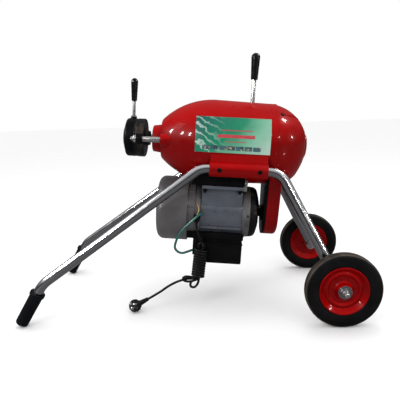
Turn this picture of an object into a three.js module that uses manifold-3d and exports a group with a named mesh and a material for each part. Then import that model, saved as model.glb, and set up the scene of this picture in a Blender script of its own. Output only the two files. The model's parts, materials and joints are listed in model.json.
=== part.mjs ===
// Sectional drain cleaning machine: a hollow spindle in a cast barrel, driven by a motor hung
// below it through a belt, with a clutch on the spindle and a three-roller feed head in front.
// Four bent tubes carry it: two end in rubber grips at the front, two on wheels at the rear.
// Units are millimetres. X points to the rear, Z up, and the front is at -X. The operator's
// left hand side, facing the front, is at -Y. The origin is on the floor under the middle.
import * as THREE from 'three';
import { mergeVertices } from 'three/addons/utils/BufferGeometryUtils.js';
import Module from 'manifold-3d';

const wasm = await Module();
wasm.setup();

// ---------------------------------------------------------------- driving dimensions
const GAP = 0.3;

const WHEEL = { radius: 100, width: 33.5, rimRadius: 64.8, axleX: 393.6, planeY: 225.7 };
const HEAD = { x: WHEEL.axleX - 300, z: 479.4, tilt: THREE.MathUtils.degToRad(4.8) };

const BARREL = { radius: 121.5, rearRadius: 117.5, noseX: -183, crownX: -30, splitX: 127, wall: 7 };
const SHOULDER_RADIUS = 214;
const CAP = { centreX: 120, length: 123, radius: 118, inletX: 243, inletRadius: 30 };
const BELLY = { drop: 14, half: 86 };
const SOCKET = { y: 118, z: -68, radius: 21.5, bore: 14.7, frontX: -37, rearX: 124 };

const SPINDLE = { radius: 19.7, bore: 14, frontX: -205, rearX: 236 };
const BEARING = { inner: 20.5, outer: 40, width: 18, frontX: -181, rearX: 212 };
const MOTOR = { z: -208, radius: 79, frontX: -57, rearX: 65, shaft: 12, coverRadius: 97 };
const BELT = { x: 152, width: 8, bigRadius: 91, smallRadius: 28, thickness: 8, seat: 2 };
const GUARD = { frontX: 128, plate: 7, rearX: 173, arc: 64, topHalf: 84, topZ: -60, wall: 3 };
const LEVER = { x: 77.5, pivotZ: 60, arm: 25.5, rod: 5.75, topZ: 258 };
const FEED = {
  frontX: -300, splitX: -262, lugX: -250, rearX: -233, hubX: -220,
  radius: 56.5, ringRadius: 56.2, yokeX: -275, rollerZ: 19,
};
const ROD = { y: 68, radius: 8, shoulderX: -233, frontX: -267, thread: 6, rearX: -151 };

const TUBE_RADIUS = 13.8;
const LEG = {
  frontCornerX: -60.2, rearCornerX: 158.8, insert: 55, axleY: 190, footGap: 19,
  frontBend: 58, rearBend: 60, gripBend: 80,
};
const GRIP = { radius: 17.5, flange: 21, length: 108, bore: 14.2 };
const CORD_RADIUS = 3.5;
const BEND_STEPS = 5;
const BARREL_SIDES = 24;

// ---------------------------------------------------------------- materials
const finish = (color, roughness, metalness) =>
  new THREE.MeshStandardMaterial({ color, roughness, metalness });
const redEnamel = finish(0xb30808, 0.25, 0.1);
const blackPaint = finish(0x121214, 0.45, 0.2);
const greyPaint = finish(0x6b6b70, 0.5, 0.2);
const bluishGrey = finish(0x737883, 0.45, 0.3);
const darkCast = finish(0x2a2a2a, 0.6, 0.3);
const blackPlastic = finish(0x151515, 0.4, 0);
const blackRubber = finish(0x181818, 0.8, 0);
const chrome = finish(0xc9ccd0, 0.12, 1);
const zinc = finish(0xb4b4b4, 0.3, 0.9);
const steel = finish(0x8a8d90, 0.35, 0.9);
const greenWire = finish(0x0e6f60, 0.5, 0);
const yellowWire = finish(0xc79a2c, 0.5, 0);

// ---------------------------------------------------------------- geometry helpers
const X_AXIS = new THREE.Vector3(1, 0, 0);
const Y_AXIS = new THREE.Vector3(0, 1, 0);
const Z_AXIS = new THREE.Vector3(0, 0, 1);

// Only positions are left, with shared corners merged, so that the surface is closed.
function weld(geometry) {
  const plain = geometry.clone();
  plain.deleteAttribute('normal');
  plain.deleteAttribute('uv');
  return mergeVertices(plain, 1e-4);
}

function toSolid(geometry) {
  const welded = weld(geometry);
  const index = welded.index.array;
  const kept = [];
  for (let i = 0; i < index.length; i += 3) {
    const [a, b, c] = [index[i], index[i + 1], index[i + 2]];
    if (a !== b && b !== c && c !== a) kept.push(a, b, c);
  }
  return new wasm.Manifold(new wasm.Mesh({
    numProp: 3,
    vertProperties: new Float32Array(welded.attributes.position.array),
    triVerts: new Uint32Array(kept),
  }));
}

function toGeometry(solid) {
  const mesh = solid.getMesh();
  const geometry = new THREE.BufferGeometry();
  geometry.setAttribute('position', new THREE.BufferAttribute(mesh.vertProperties, 3));
  geometry.setIndex(new THREE.BufferAttribute(mesh.triVerts, 1));
  return geometry;
}

const cut = (base, ...tools) =>
  toGeometry(tools.reduce((solid, tool) => solid.subtract(toSolid(tool)), toSolid(base)));
const join = (base, ...others) =>
  toGeometry(others.reduce((solid, other) => solid.add(toSolid(other)), toSolid(base)));
const overlap = (base, other) => toGeometry(toSolid(base).intersect(toSolid(other)));

// A turned shape about the X axis from [x, radius] points. Its outside is listed towards +X.
function turned(profile, segments) {
  const points = profile.map(([x, radius]) => new THREE.Vector2(radius, x));
  return new THREE.LatheGeometry(points, segments).rotateZ(-Math.PI / 2);
}

// The same about a given axis through a given point.
function turnedAlong(axis, origin, profile, segments) {
  const turn = new THREE.Quaternion().setFromUnitVectors(X_AXIS, axis.clone().normalize());
  return turned(profile, segments).applyQuaternion(turn).translate(...origin);
}

const rod = (axis, origin, from, to, radius, segments) =>
  turnedAlong(axis, origin, [[from, 0], [from, radius], [to, radius], [to, 0]], segments);

const ring = (axis, origin, from, to, inner, outer, segments) =>
  turnedAlong(axis, origin,
    [[from, inner], [from, outer], [to, outer], [to, inner], [from, inner]], segments);

function block([x0, x1], [y0, y1], [z0, z1]) {
  return new THREE.BoxGeometry(x1 - x0, y1 - y0, z1 - z0)
    .translate((x0 + x1) / 2, (y0 + y1) / 2, (z0 + z1) / 2);
}

// Points of an arc-like stretch of a profile, from x0 to x1.
function sampled(x0, x1, steps, radiusAt) {
  return Array.from({ length: steps + 1 }, (_, i) => {
    const x = x0 + (x1 - x0) * i / steps;
    return [x, radiusAt(x)];
  });
}

// A path through given stations, so that a tube along it has one section at each of them.
class StationPath extends THREE.Curve {
  constructor(stations) {
    super();
    this.stations = stations;
  }

  getUtoTmapping(u) {
    return u;
  }

  getPoint(t, target = new THREE.Vector3()) {
    const place = t * (this.stations.length - 1);
    const i = Math.min(Math.floor(place), this.stations.length - 2);
    return target.lerpVectors(this.stations[i], this.stations[i + 1], place - i);
  }
}

// Straight runs whose corners are rounded to the given radii.
function roundedPath(corners, radii) {
  const stations = [corners[0]];
  radii.forEach((radius, i) => {
    const corner = corners[i + 1];
    const before = corners[i].clone().sub(corner).normalize();
    const after = corners[i + 2].clone().sub(corner).normalize();
    const reach = radius / Math.tan(before.angleTo(after) / 2);
    const enter = corner.clone().addScaledVector(before, reach);
    const leave = corner.clone().addScaledVector(after, reach);
    stations.push(...new THREE.QuadraticBezierCurve3(enter, corner, leave).getPoints(BEND_STEPS));
  });
  stations.push(corners[corners.length - 1]);
  return new StationPath(stations);
}

function tube(path, radius, sides, steps) {
  const circle = new THREE.EllipseCurve(0, 0, radius, radius);
  const section = new THREE.Shape(circle.getPoints(sides).slice(1));
  return new THREE.ExtrudeGeometry(section, { steps, extrudePath: path });
}

const bentTube = (path, radius, sides) => tube(path, radius, sides, path.stations.length - 1);

const smooth = (points) =>
  new THREE.CatmullRomCurve3(points.map((point) => new THREE.Vector3(...point)), false, 'centripetal');

// ---------------------------------------------------------------- assembly helpers
const machine = new THREE.Group();
const head = new THREE.Group();
head.position.set(HEAD.x, 0, HEAD.z);
head.rotation.y = HEAD.tilt;
machine.add(head);

function add(parent, name, geometry, material) {
  const mesh = new THREE.Mesh(geometry, material);
  mesh.name = name;
  parent.add(mesh);
}

// A point or a direction of the tilted head, in the machine's own frame.
const headDirection = (x, y, z) => new THREE.Vector3(x, y, z).applyAxisAngle(Y_AXIS, HEAD.tilt);
const headPoint = (x, y, z) => headDirection(x, y, z).add(head.position);

const SIDES = [{ name: 'left', sign: -1 }, { name: 'right', sign: 1 }];

// ---------------------------------------------------------------- barrel castings
const shoulderRadiusAt = (x) =>
  BARREL.radius - SHOULDER_RADIUS + Math.sqrt(SHOULDER_RADIUS ** 2 - (x - BARREL.crownX) ** 2);
const capRadiusAt = (x) =>
  CAP.radius * Math.sqrt(Math.max(0, 1 - ((x - CAP.centreX) / CAP.length) ** 2));

// The barrel's outer skin, grown by a clearance, used to cut what fits against it.
function barrelSkin(clearance) {
  return turned([
    [BARREL.noseX, 0],
    ...sampled(BARREL.noseX, BARREL.crownX, 5, (x) => shoulderRadiusAt(x) + clearance),
    [BARREL.splitX, BARREL.rearRadius + clearance],
    ...sampled(BARREL.splitX + 18, 228, 5, (x) => capRadiusAt(x) + clearance),
    [240, CAP.inletRadius + clearance],
    [240, 0],
  ], BARREL_SIDES);
}

function mainCasting() {
  const wall = BARREL.wall;
  const bearingSeat = BEARING.outer + 0.4;
  const bearingBack = BEARING.frontX + BEARING.width + GAP;
  const shell = turned([
    [BARREL.noseX, bearingSeat],
    ...sampled(BARREL.noseX, BARREL.crownX, 5, shoulderRadiusAt),
    [BARREL.splitX, BARREL.rearRadius],
    [BARREL.splitX, BARREL.rearRadius - wall],
    ...sampled(BARREL.crownX, -150, 3, (x) => shoulderRadiusAt(x) - wall),
    [bearingBack + 2, bearingSeat - 6],
    [bearingBack, bearingSeat - 6],
    [bearingBack, bearingSeat],
    [BARREL.noseX, bearingSeat],
  ], BARREL_SIDES);
  const socketAt = (sign) => [0, sign * SOCKET.y, SOCKET.z];
  const sockets = SIDES.map(({ sign }) =>
    rod(X_AXIS, socketAt(sign), SOCKET.frontX, SOCKET.rearX, SOCKET.radius, 14));
  const socketBores = SIDES.map(({ sign }) =>
    rod(X_AXIS, socketAt(sign), SOCKET.frontX - 5, SOCKET.rearX + 10, SOCKET.bore, 12));
  const rodBosses = SIDES.map(({ sign }) => rod(X_AXIS, [0, sign * ROD.y, 0], -186, -140, 18, 12));
  const rodHoles = SIDES.map(({ sign }) =>
    rod(X_AXIS, [0, sign * ROD.y, 0], -190, ROD.rearX + 1, ROD.radius + 0.6, 8));
  const lugs = SIDES.map(({ sign }) => block(
    [LEVER.x - 9, LEVER.x + 9],
    sign < 0 ? [-15, -9] : [9, 15],
    [LEVER.pivotZ - 9, 116]));
  const pinHole = rod(Y_AXIS, [LEVER.x, 0, LEVER.pivotZ], -20, 20, 4.6, 8);
  const leverSlot = block([LEVER.x - 36, LEVER.x + 7.5], [-7.5, 7.5], [100, 130]);
  return cut(join(shell, ...sockets, ...rodBosses, ...lugs),
    ...socketBores, ...rodHoles, pinHole, leverSlot);
}

function rearCap() {
  const outer = [
    ...sampled(BARREL.splitX + 18, 228, 5, capRadiusAt),
    [239, CAP.inletRadius],
    [CAP.inletX, CAP.inletRadius - 1.5],
  ];
  const front = BARREL.splitX + GAP;
  const seatFront = BEARING.rearX - GAP;
  const bearingSeat = BEARING.outer + 0.4;
  const dome = turned([[front, 0], [front, BARREL.rearRadius], ...outer, [CAP.inletX, 0]], BARREL_SIDES);
  const cavity = turned([
    [front - 5, 0],
    [front - 5, BARREL.rearRadius - BARREL.wall],
    ...sampled(BARREL.splitX + 18, seatFront, 4, (x) => capRadiusAt(x) - BARREL.wall),
    [seatFront, bearingSeat],
    [seatFront + BEARING.width + 2 * GAP, bearingSeat],
    [seatFront + BEARING.width + 2 * GAP, 21.5],
    [238, 21.5],
    [238, 16.5],
    [CAP.inletX + 5, 16.5],
    [CAP.inletX + 5, 0],
  ], BARREL_SIDES);
  const lowered = dome.clone().translate(0, 0, -BELLY.drop);
  const belly = overlap(lowered, block([GUARD.frontX + 2, 240], [-BELLY.half, BELLY.half], [-140, 0]));
  const beltSlot = block([BELT.x - 17, GUARD.rearX - GUARD.wall], [-81, 81], [-150, -52]);
  return cut(join(dome, belly), cavity, beltSlot);
}

add(head, 'main_casting', mainCasting(), redEnamel);
add(head, 'rear_cap', rearCap(), redEnamel);

const COLLAR = { frontX: -210, bore: 22.5 };
add(head, 'nose_collar', turned([
  [COLLAR.frontX, COLLAR.bore],
  [COLLAR.frontX, 38.5],
  [COLLAR.frontX + 3, 40],
  [BARREL.noseX - GAP, 42],
  [BARREL.noseX - GAP, COLLAR.bore],
  [COLLAR.frontX, COLLAR.bore],
], 20), redEnamel);

// ---------------------------------------------------------------- spindle and its drive
for (const [name, x] of [['front_bearing', BEARING.frontX], ['rear_bearing', BEARING.rearX]]) {
  add(head, name, ring(X_AXIS, [0, 0, 0], x, x + BEARING.width, BEARING.inner, BEARING.outer, 16), steel);
}

function vPulley(radius, hubRadius, bore, segments) {
  const x = BELT.x;
  const groove = radius - 7;
  const web = hubRadius < groove - 12
    ? [[x + 4, groove - 4], [x + 4, hubRadius], [x + 14, hubRadius]] : [[x + 14, groove - 4]];
  const webFront = hubRadius < groove - 12
    ? [[x - 14, hubRadius], [x - 4, hubRadius], [x - 4, groove - 4]] : [[x - 14, groove - 4]];
  return turned([
    [x - 14, bore],
    ...webFront,
    [x - 9, groove - 4],
    [x - 9, radius],
    [x, groove],
    [x + 9, radius],
    [x + 9, groove - 4],
    ...web,
    [x + 14, bore],
    [x - 14, bore],
  ], segments);
}

add(head, 'spindle_pulley', vPulley(BELT.bigRadius, 32, SPINDLE.radius + 0.6, 20), darkCast);

// Outline in the YZ plane that wraps two circles one above the other.
function wrapOutline(topRadius, topZ, bottomRadius, bottomZ, stepsPerArc) {
  const lean = Math.asin((topRadius - bottomRadius) / (topZ - bottomZ));
  const arc = (radius, z, from, to) => Array.from({ length: stepsPerArc + 1 }, (_, i) => {
    const angle = from + (to - from) * i / stepsPerArc;
    return new THREE.Vector2(radius * Math.cos(angle), z + radius * Math.sin(angle));
  });
  return [
    ...arc(topRadius, topZ, -lean, Math.PI + lean),
    ...arc(bottomRadius, bottomZ, Math.PI + lean, 2 * Math.PI - lean),
  ];
}

// Extrudes an outline of (y, z) points along X between two planes.
function plateFromOutline(shape, x0, x1) {
  const geometry = new THREE.ExtrudeGeometry(shape, { depth: x1 - x0, bevelEnabled: false });
  const turn = new THREE.Matrix4().makeBasis(Y_AXIS, Z_AXIS, X_AXIS);
  return geometry.applyMatrix4(turn).translate(x0, 0, 0);
}

function driveBelt() {
  const inner = { big: BELT.bigRadius - BELT.seat, small: BELT.smallRadius - BELT.seat };
  const outer = { big: inner.big + BELT.thickness, small: inner.small + BELT.thickness };
  const shape = new THREE.Shape(wrapOutline(outer.big, 0, outer.small, MOTOR.z, 12));
  shape.holes.push(new THREE.Path(wrapOutline(inner.big, 0, inner.small, MOTOR.z, 12)));
  return plateFromOutline(shape, BELT.x - BELT.width / 2, BELT.x + BELT.width / 2);
}

add(head, 'drive_belt', driveBelt(), blackRubber);

// ---------------------------------------------------------------- belt guard
// A straight-sided outline from the barrel down to an arc around the motor pulley.
function guardOutline(inset) {
  const radius = GUARD.arc - inset;
  const half = GUARD.topHalf - inset;
  const drop = GUARD.topZ - MOTOR.z;
  const away = Math.hypot(half, drop);
  const touch = Math.atan2(drop, half) - Math.acos(radius / away);
  const steps = 10;
  const arc = Array.from({ length: steps + 1 }, (_, i) => {
    const angle = Math.PI - touch + (Math.PI + 2 * touch) * i / steps;
    return new THREE.Vector2(radius * Math.cos(angle), MOTOR.z + radius * Math.sin(angle));
  });
  return new THREE.Shape([
    new THREE.Vector2(half, GUARD.topZ),
    new THREE.Vector2(-half, GUARD.topZ),
    ...arc,
  ]);
}

function beltGuardCover() {
  const x0 = GUARD.frontX + GUARD.plate + GAP;
  const shell = plateFromOutline(guardOutline(0), x0, GUARD.rearX);
  const hollow = plateFromOutline(guardOutline(GUARD.wall), x0 - 1, GUARD.rearX - GUARD.wall);
  return cut(shell, hollow, ...rearCapOutside(GAP));
}

// What the rear cap fills outside, for trimming the guard against it.
function rearCapOutside(clearance) {
  const lowered = barrelSkin(clearance).translate(0, 0, -BELLY.drop);
  return [
    barrelSkin(clearance),
    overlap(lowered, block([GUARD.frontX + 2 - clearance, 260], [-90, 90], [-140, 0])),
  ];
}

function beltGuardPlate() {
  const plate = plateFromOutline(guardOutline(0), GUARD.frontX, GUARD.frontX + GUARD.plate);
  const shaftHole = rod(X_AXIS, [0, 0, MOTOR.z], 100, 150, MOTOR.shaft + 3, 16);
  return cut(plate, shaftHole, ...rearCapOutside(GAP));
}

add(head, 'belt_guard_cover', beltGuardCover(), redEnamel);
add(head, 'belt_guard_plate', beltGuardPlate(), blackPaint);

// ---------------------------------------------------------------- motor
function motorCradle() {
  const underside = -128;
  const floorTop = -122.3;
  const body = block([-84, 66], [-90, 90], [underside, -82]);
  const between = block([-90, 70], [-74, 74], [floorTop, -60]);
  return cut(body, between, barrelSkin(0.4));
}

function statorHousing() {
  const { z, radius, frontX, rearX } = MOTOR;
  const underCradle = -128 - GAP;
  const feet = SIDES.flatMap(({ sign }) => {
    const span = (near, far) => (sign < 0 ? [-far, -near] : [near, far]);
    return [
      block([frontX, rearX], span(62, 92), [underCradle - 10, underCradle]),
      block([frontX, rearX], span(62, 74), [z + 25, underCradle - 5]),
    ];
  });
  const housing = rod(X_AXIS, [0, 0, z], frontX, rearX, radius, 24);
  const bore = rod(X_AXIS, [0, 0, z], frontX - 1, rearX + 1, 47, 14);
  return cut(join(housing, ...feet), bore);
}

const onMotorAxis = (profile, segments) =>
  turnedAlong(X_AXIS, [0, 0, MOTOR.z], profile, segments);

add(head, 'motor_cradle', motorCradle(), blackPaint);
add(head, 'stator_housing', statorHousing(), bluishGrey);
add(head, 'motor_front_bell', onMotorAxis([
  [-108, 14],
  [-108, 92.4],
  [-98, 92.4],
  [-94, 79.5],
  [MOTOR.frontX - GAP, 79],
  [MOTOR.frontX - GAP, 47],
  [-84, 43],
  [-84, 14],
  [-108, 14],
], 20), greyPaint);
add(head, 'motor_rear_bell', onMotorAxis([
  [108, 14],
  [100, 40],
  [MOTOR.rearX + GAP, 48],
  [MOTOR.rearX + GAP, MOTOR.radius],
  ...sampled(80, 113, 4, (x) => (MOTOR.radius - 1) * Math.sqrt(1 - ((x - 76) / 40) ** 2)),
  [116, 20],
  [116, 14],
  [108, 14],
], 20), darkCast);
add(head, 'fan_cover', onMotorAxis([
  [-195, 0],
  [-195, 80],
  [-191, 90],
  [-181, MOTOR.coverRadius],
  [-98, MOTOR.coverRadius],
  [-98, MOTOR.coverRadius - 3],
  [-180, MOTOR.coverRadius - 3],
  [-188, 88],
  [-191.5, 78],
  [-191.5, 0],
], 20), greyPaint);
add(head, 'motor_rotor', onMotorAxis([
  [-178, 0],
  [-178, 10],
  [-172, 10],
  [-172, 76],
  [-150, 76],
  [-150, 70],
  [-167, 66],
  [-167, MOTOR.shaft],
  [-45, MOTOR.shaft],
  [-45, 44],
  [50, 44],
  [50, MOTOR.shaft],
  [168, MOTOR.shaft],
  [168, 0],
], 12), steel);
add(head, 'motor_pulley',
  vPulley(BELT.smallRadius, BELT.smallRadius, MOTOR.shaft + 0.6, 14).translate(0, 0, MOTOR.z), darkCast);

// ---------------------------------------------------------------- switch box under the motor
const BOX = { x: [-45, 71], halfY: 75, topZ: -292.3, bottomZ: -355 };

function boxSeat() {
  const rim = block([-93, 73], [-78, 78], [-281, -262]);
  const lower = block(BOX.x, [-BOX.halfY, BOX.halfY], [-292, -281]);
  const motorRoom = rod(X_AXIS, [0, 0, MOTOR.z], -95, 75, MOTOR.radius + 1.6, 24);
  return cut(join(rim, lower), motorRoom);
}

function switchBox() {
  const wall = 3;
  const shell = block(BOX.x, [-BOX.halfY, BOX.halfY], [BOX.bottomZ, BOX.topZ]);
  const hollow = block([BOX.x[0] + wall, BOX.x[1] - wall],
    [-BOX.halfY + wall, BOX.halfY - wall], [BOX.bottomZ + wall, BOX.topZ + 1]);
  return cut(shell, hollow);
}

add(head, 'box_seat', boxSeat(), blackPaint);
add(head, 'switch_box', switchBox(), blackPlastic);
add(head, 'switch_knob', join(
  rod(Y_AXIS, [13, BOX.halfY, -325], GAP, 6, 17, 16),
  block([9, 17], [BOX.halfY + 5, BOX.halfY + 22], [-341, -309])), blackPlastic);

// ---------------------------------------------------------------- clutch
add(head, 'clutch_lever_rod', cut(
  join(
    rod(Z_AXIS, [LEVER.x, 0, LEVER.pivotZ], 0, 133, LEVER.rod, 12),
    rod(Y_AXIS, [LEVER.x, 0, LEVER.pivotZ], -8.4, 8.4, 10, 16),
    rod(Z_AXIS, [LEVER.x, 0, LEVER.pivotZ], -LEVER.arm, 0, 4, 12),
    new THREE.SphereGeometry(4.2, 8, 6).translate(LEVER.x, 0, LEVER.pivotZ - LEVER.arm)),
  rod(Y_AXIS, [LEVER.x, 0, LEVER.pivotZ], -20, 20, 4.4, 12)), zinc);
add(head, 'clutch_lever_knob', cut(
  turnedAlong(Z_AXIS, [LEVER.x, 0, 0], [
    [183, 0],
    [183, 9.5],
    [186, 10.4],
    [244, 12.6],
    [251, 11.5],
    [256, 7],
    [LEVER.topZ, 0],
  ], 12),
  rod(Z_AXIS, [LEVER.x, 0, 0], 180, 194, LEVER.rod + GAP, 12)), blackPlastic);
add(head, 'clutch_lever_pin',
  rod(Y_AXIS, [LEVER.x, 0, LEVER.pivotZ], -16, 16, 4, 12), steel);

const sleeveRing = { inner: 20.9, groove: 29, outer: 38 };
add(head, 'clutch_sleeve', turned([
  [LEVER.x - 11.5, sleeveRing.inner],
  [LEVER.x - 11.5, sleeveRing.outer],
  [LEVER.x - 4.8, sleeveRing.outer],
  [LEVER.x - 4.8, sleeveRing.groove],
  [LEVER.x + 4.8, sleeveRing.groove],
  [LEVER.x + 4.8, sleeveRing.outer],
  [LEVER.x + 21.5, sleeveRing.outer],
  [LEVER.x + 21.5, 32],
  [LEVER.x + 9.5, 25.2],
  [LEVER.x + 9.5, sleeveRing.inner],
  [LEVER.x - 11.5, sleeveRing.inner],
], 16), steel);

// Three jaws stand in windows of the spindle. Their outer front edge is chamfered for the cone.
const JAW = { x0: 101, x1: 121, inner: 14.5, outer: 31, half: 4.7, angles: [90, 210, 330] };

function jawProfile() {
  const shape = new THREE.Shape([
    new THREE.Vector2(JAW.x0, JAW.inner),
    new THREE.Vector2(JAW.x1, JAW.inner),
    new THREE.Vector2(JAW.x1, JAW.outer),
    new THREE.Vector2(JAW.x0 + 7, JAW.outer),
    new THREE.Vector2(JAW.x0, JAW.outer - 4),
  ]);
  const geometry = new THREE.ExtrudeGeometry(shape, { depth: 2 * JAW.half, bevelEnabled: false });
  const upright = new THREE.Matrix4().makeBasis(X_AXIS, Z_AXIS, Y_AXIS.clone().negate());
  return geometry.applyMatrix4(upright).translate(0, JAW.half, 0);
}

const turnAboutSpindle = (geometry, degrees) =>
  geometry.rotateX(THREE.MathUtils.degToRad(degrees - 90));

function spindleTube() {
  const tubeWall = ring(X_AXIS, [0, 0, 0], SPINDLE.frontX, SPINDLE.rearX, SPINDLE.bore, SPINDLE.radius, 20);
  const reach = JAW.half + GAP;
  const windows = JAW.angles.map((angle) =>
    turnAboutSpindle(block([JAW.x0 - GAP, JAW.x1 + GAP], [-reach, reach], [5, 40]), angle));
  return cut(tubeWall, ...windows);
}

add(head, 'spindle_tube', spindleTube(), steel);
JAW.angles.forEach((angle, i) => {
  add(head, `clutch_jaw_${i + 1}`, turnAboutSpindle(jawProfile(), angle), steel);
});

// ---------------------------------------------------------------- feed head
const radial = (degrees) => {
  const angle = THREE.MathUtils.degToRad(degrees);
  return new THREE.Vector3(0, Math.cos(angle), Math.sin(angle));
};
const YOKE_ANGLES = [30, 150, 270];

function feedCarrier() {
  const body = turned([
    [FEED.hubX, 13],
    [FEED.splitX, 13],
    [FEED.splitX, 45.5],
    [-284, 45.5],
    [-284, 49],
    [FEED.splitX, 49],
    [FEED.splitX, 55.5],
    [FEED.rearX - 3, FEED.radius],
    [FEED.rearX, 54],
    [FEED.rearX, 21],
    [FEED.hubX, 20],
    [FEED.hubX, 13],
  ], 20);
  const lugs = SIDES.flatMap(({ sign }) => [
    rod(X_AXIS, [0, sign * ROD.y, 0], FEED.lugX, ROD.shoulderX - GAP, 15, 12),
    block([FEED.lugX, ROD.shoulderX - GAP], sign < 0 ? [-ROD.y, -40] : [40, ROD.y], [-15, 15]),
  ]);
  const threadHoles = SIDES.map(({ sign }) =>
    rod(X_AXIS, [0, sign * ROD.y, 0], FEED.lugX - 4, ROD.shoulderX + 4, ROD.thread + 0.5, 8));
  const rodRoom = SIDES.map(({ sign }) =>
    rod(X_AXIS, [0, sign * ROD.y, 0], ROD.shoulderX - GAP, -200, 20, 10));
  const pinHoles = YOKE_ANGLES.map((angle) =>
    rod(radial(angle), [FEED.yokeX, 0, 0], 40, 52, 4.6, 8));
  return cut(join(body, ...lugs), ...threadHoles, ...rodRoom, ...pinHoles);
}

function feedRing() {
  const cup = turned([
    [FEED.frontX, 14],
    [FEED.frontX, 27],
    [-289, 53],
    [-286, 55],
    [-272, FEED.ringRadius],
    [FEED.splitX - GAP, FEED.ringRadius],
    [FEED.splitX - GAP, 50],
    [-285, 50],
    [-290, 44],
    [-293, 36],
    [-294, 25],
    [-294, 14],
    [FEED.frontX, 14],
  ], 20);
  const boss = rod(Z_AXIS, [-271, 0, 0], 52, 61, 8.5, 12);
  const rodHole = rod(Z_AXIS, [-271, 0, 0], 55, 70, 4.5 + GAP, 12);
  return cut(join(cup, boss), rodHole);
}

add(head, 'feed_carrier', feedCarrier(), darkCast);
add(head, 'feed_ring', feedRing(), blackPaint);
add(head, 'feed_lever_rod', rod(Z_AXIS, [-271, 0, 0], 55.3, 118, 4.5, 12), blackPaint);
add(head, 'feed_lever_knob', cut(
  turnedAlong(Z_AXIS, [-271, 0, 0], [
    [106, 0],
    [106, 7.5],
    [110, 8.6],
    [162, 10.3],
    [168, 9],
    [171, 5],
    [172, 0],
  ], 16),
  rod(Z_AXIS, [-271, 0, 0], 100, 118 + GAP, 4.5 + GAP, 12)), blackPlastic);

// One roller between the cheeks of a yoke that swivels on a pin pointing away from the cable.
function yoke() {
  const [half, cheek, z] = [9.3, 2.2, FEED.rollerZ];
  const outerX = half + cheek;
  const bridge = block([-outerX, outerX], [-7, 7], [37.6, 41.6]);
  const pin = rod(Z_AXIS, [0, 0, 0], 41, 48.5, 4, 8);
  const cheeks = [-1, 1].map((side) =>
    block(side < 0 ? [-outerX, -half] : [half, outerX], [-6, 6], [z - 5, 39]));
  const axle = rod(X_AXIS, [0, 0, z], -outerX, outerX, 3, 8);
  return join(bridge, pin, ...cheeks, axle);
}

YOKE_ANGLES.forEach((angle, i) => {
  const roller = ring(X_AXIS, [0, 0, FEED.rollerZ], -9, 9, 3.5, 10, 12);
  const lean = THREE.MathUtils.degToRad(angle - 90);
  add(head, `feed_yoke_${i + 1}`, yoke().rotateX(lean).translate(FEED.yokeX, 0, 0), steel);
  add(head, `feed_roller_${i + 1}`, roller.rotateX(lean).translate(FEED.yokeX, 0, 0), steel);
});

for (const { name, sign } of SIDES) {
  const at = [0, sign * ROD.y, 0];
  add(head, `guide_rod_${name}`, turnedAlong(X_AXIS, at, [
    [ROD.frontX, 0],
    [ROD.frontX, ROD.thread],
    [ROD.shoulderX, ROD.thread],
    [ROD.shoulderX, ROD.radius],
    [ROD.rearX, ROD.radius],
    [ROD.rearX, 0],
  ], 12), zinc);
  add(head, `rod_nut_${name}`, cut(
    rod(X_AXIS, at, FEED.lugX - 9, FEED.lugX - GAP, 11, 6),
    rod(X_AXIS, at, FEED.lugX - 12, FEED.lugX + 2, ROD.thread + 0.5, 12)), zinc);
}

// ---------------------------------------------------------------- legs, grips and wheels
const onSocketAxis = (sign, x) => headPoint(x, sign * SOCKET.y, SOCKET.z);

function frontLegPath(sign) {
  const fromAxle = (x, y, z) => new THREE.Vector3(WHEEL.axleX + x, sign * y, z);
  return [
    onSocketAxis(sign, SOCKET.frontX + LEG.insert),
    onSocketAxis(sign, LEG.frontCornerX),
    fromAxle(-806, 203, 119),
    fromAxle(-869.5, 208, 16.35),
  ];
}

function rearLegPath(sign) {
  const corner = onSocketAxis(sign, LEG.rearCornerX);
  const axle = new THREE.Vector3(WHEEL.axleX, sign * LEG.axleY, WHEEL.radius);
  const run = axle.clone().sub(corner).normalize();
  return [
    onSocketAxis(sign, SOCKET.rearX - LEG.insert),
    corner,
    axle.addScaledVector(run, -LEG.footGap),
  ];
}

function grip(tip, direction) {
  return turnedAlong(direction, tip, [
    [0, 0],
    [1.2, 8],
    [4, 14],
    [9, GRIP.radius],
    [GRIP.length - 9, GRIP.radius + 0.8],
    [GRIP.length - 8, GRIP.flange],
    [GRIP.length, GRIP.flange],
    [GRIP.length, GRIP.bore],
    [14, GRIP.bore],
    [14, 0],
  ], 14);
}

const wheelProfile = {
  tyre: [
    [-12, 66],
    [-WHEEL.width / 2, 82],
    [-15, 94],
    [-9, WHEEL.radius],
    [9, WHEEL.radius],
    [15, 94],
    [WHEEL.width / 2, 82],
    [12, 66],
    [-12, 66],
  ],
  rim: [
    [-17, 8.6],
    [-17, 19],
    [-5, 22],
    [-5, 50],
    [-14, 63],
    [-11.4, WHEEL.rimRadius],
    [11.4, WHEEL.rimRadius],
    [14, 63],
    [0, 50],
    [0, 24],
    [17, 19],
    [17, 8.6],
    [-17, 8.6],
  ],
};

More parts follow.
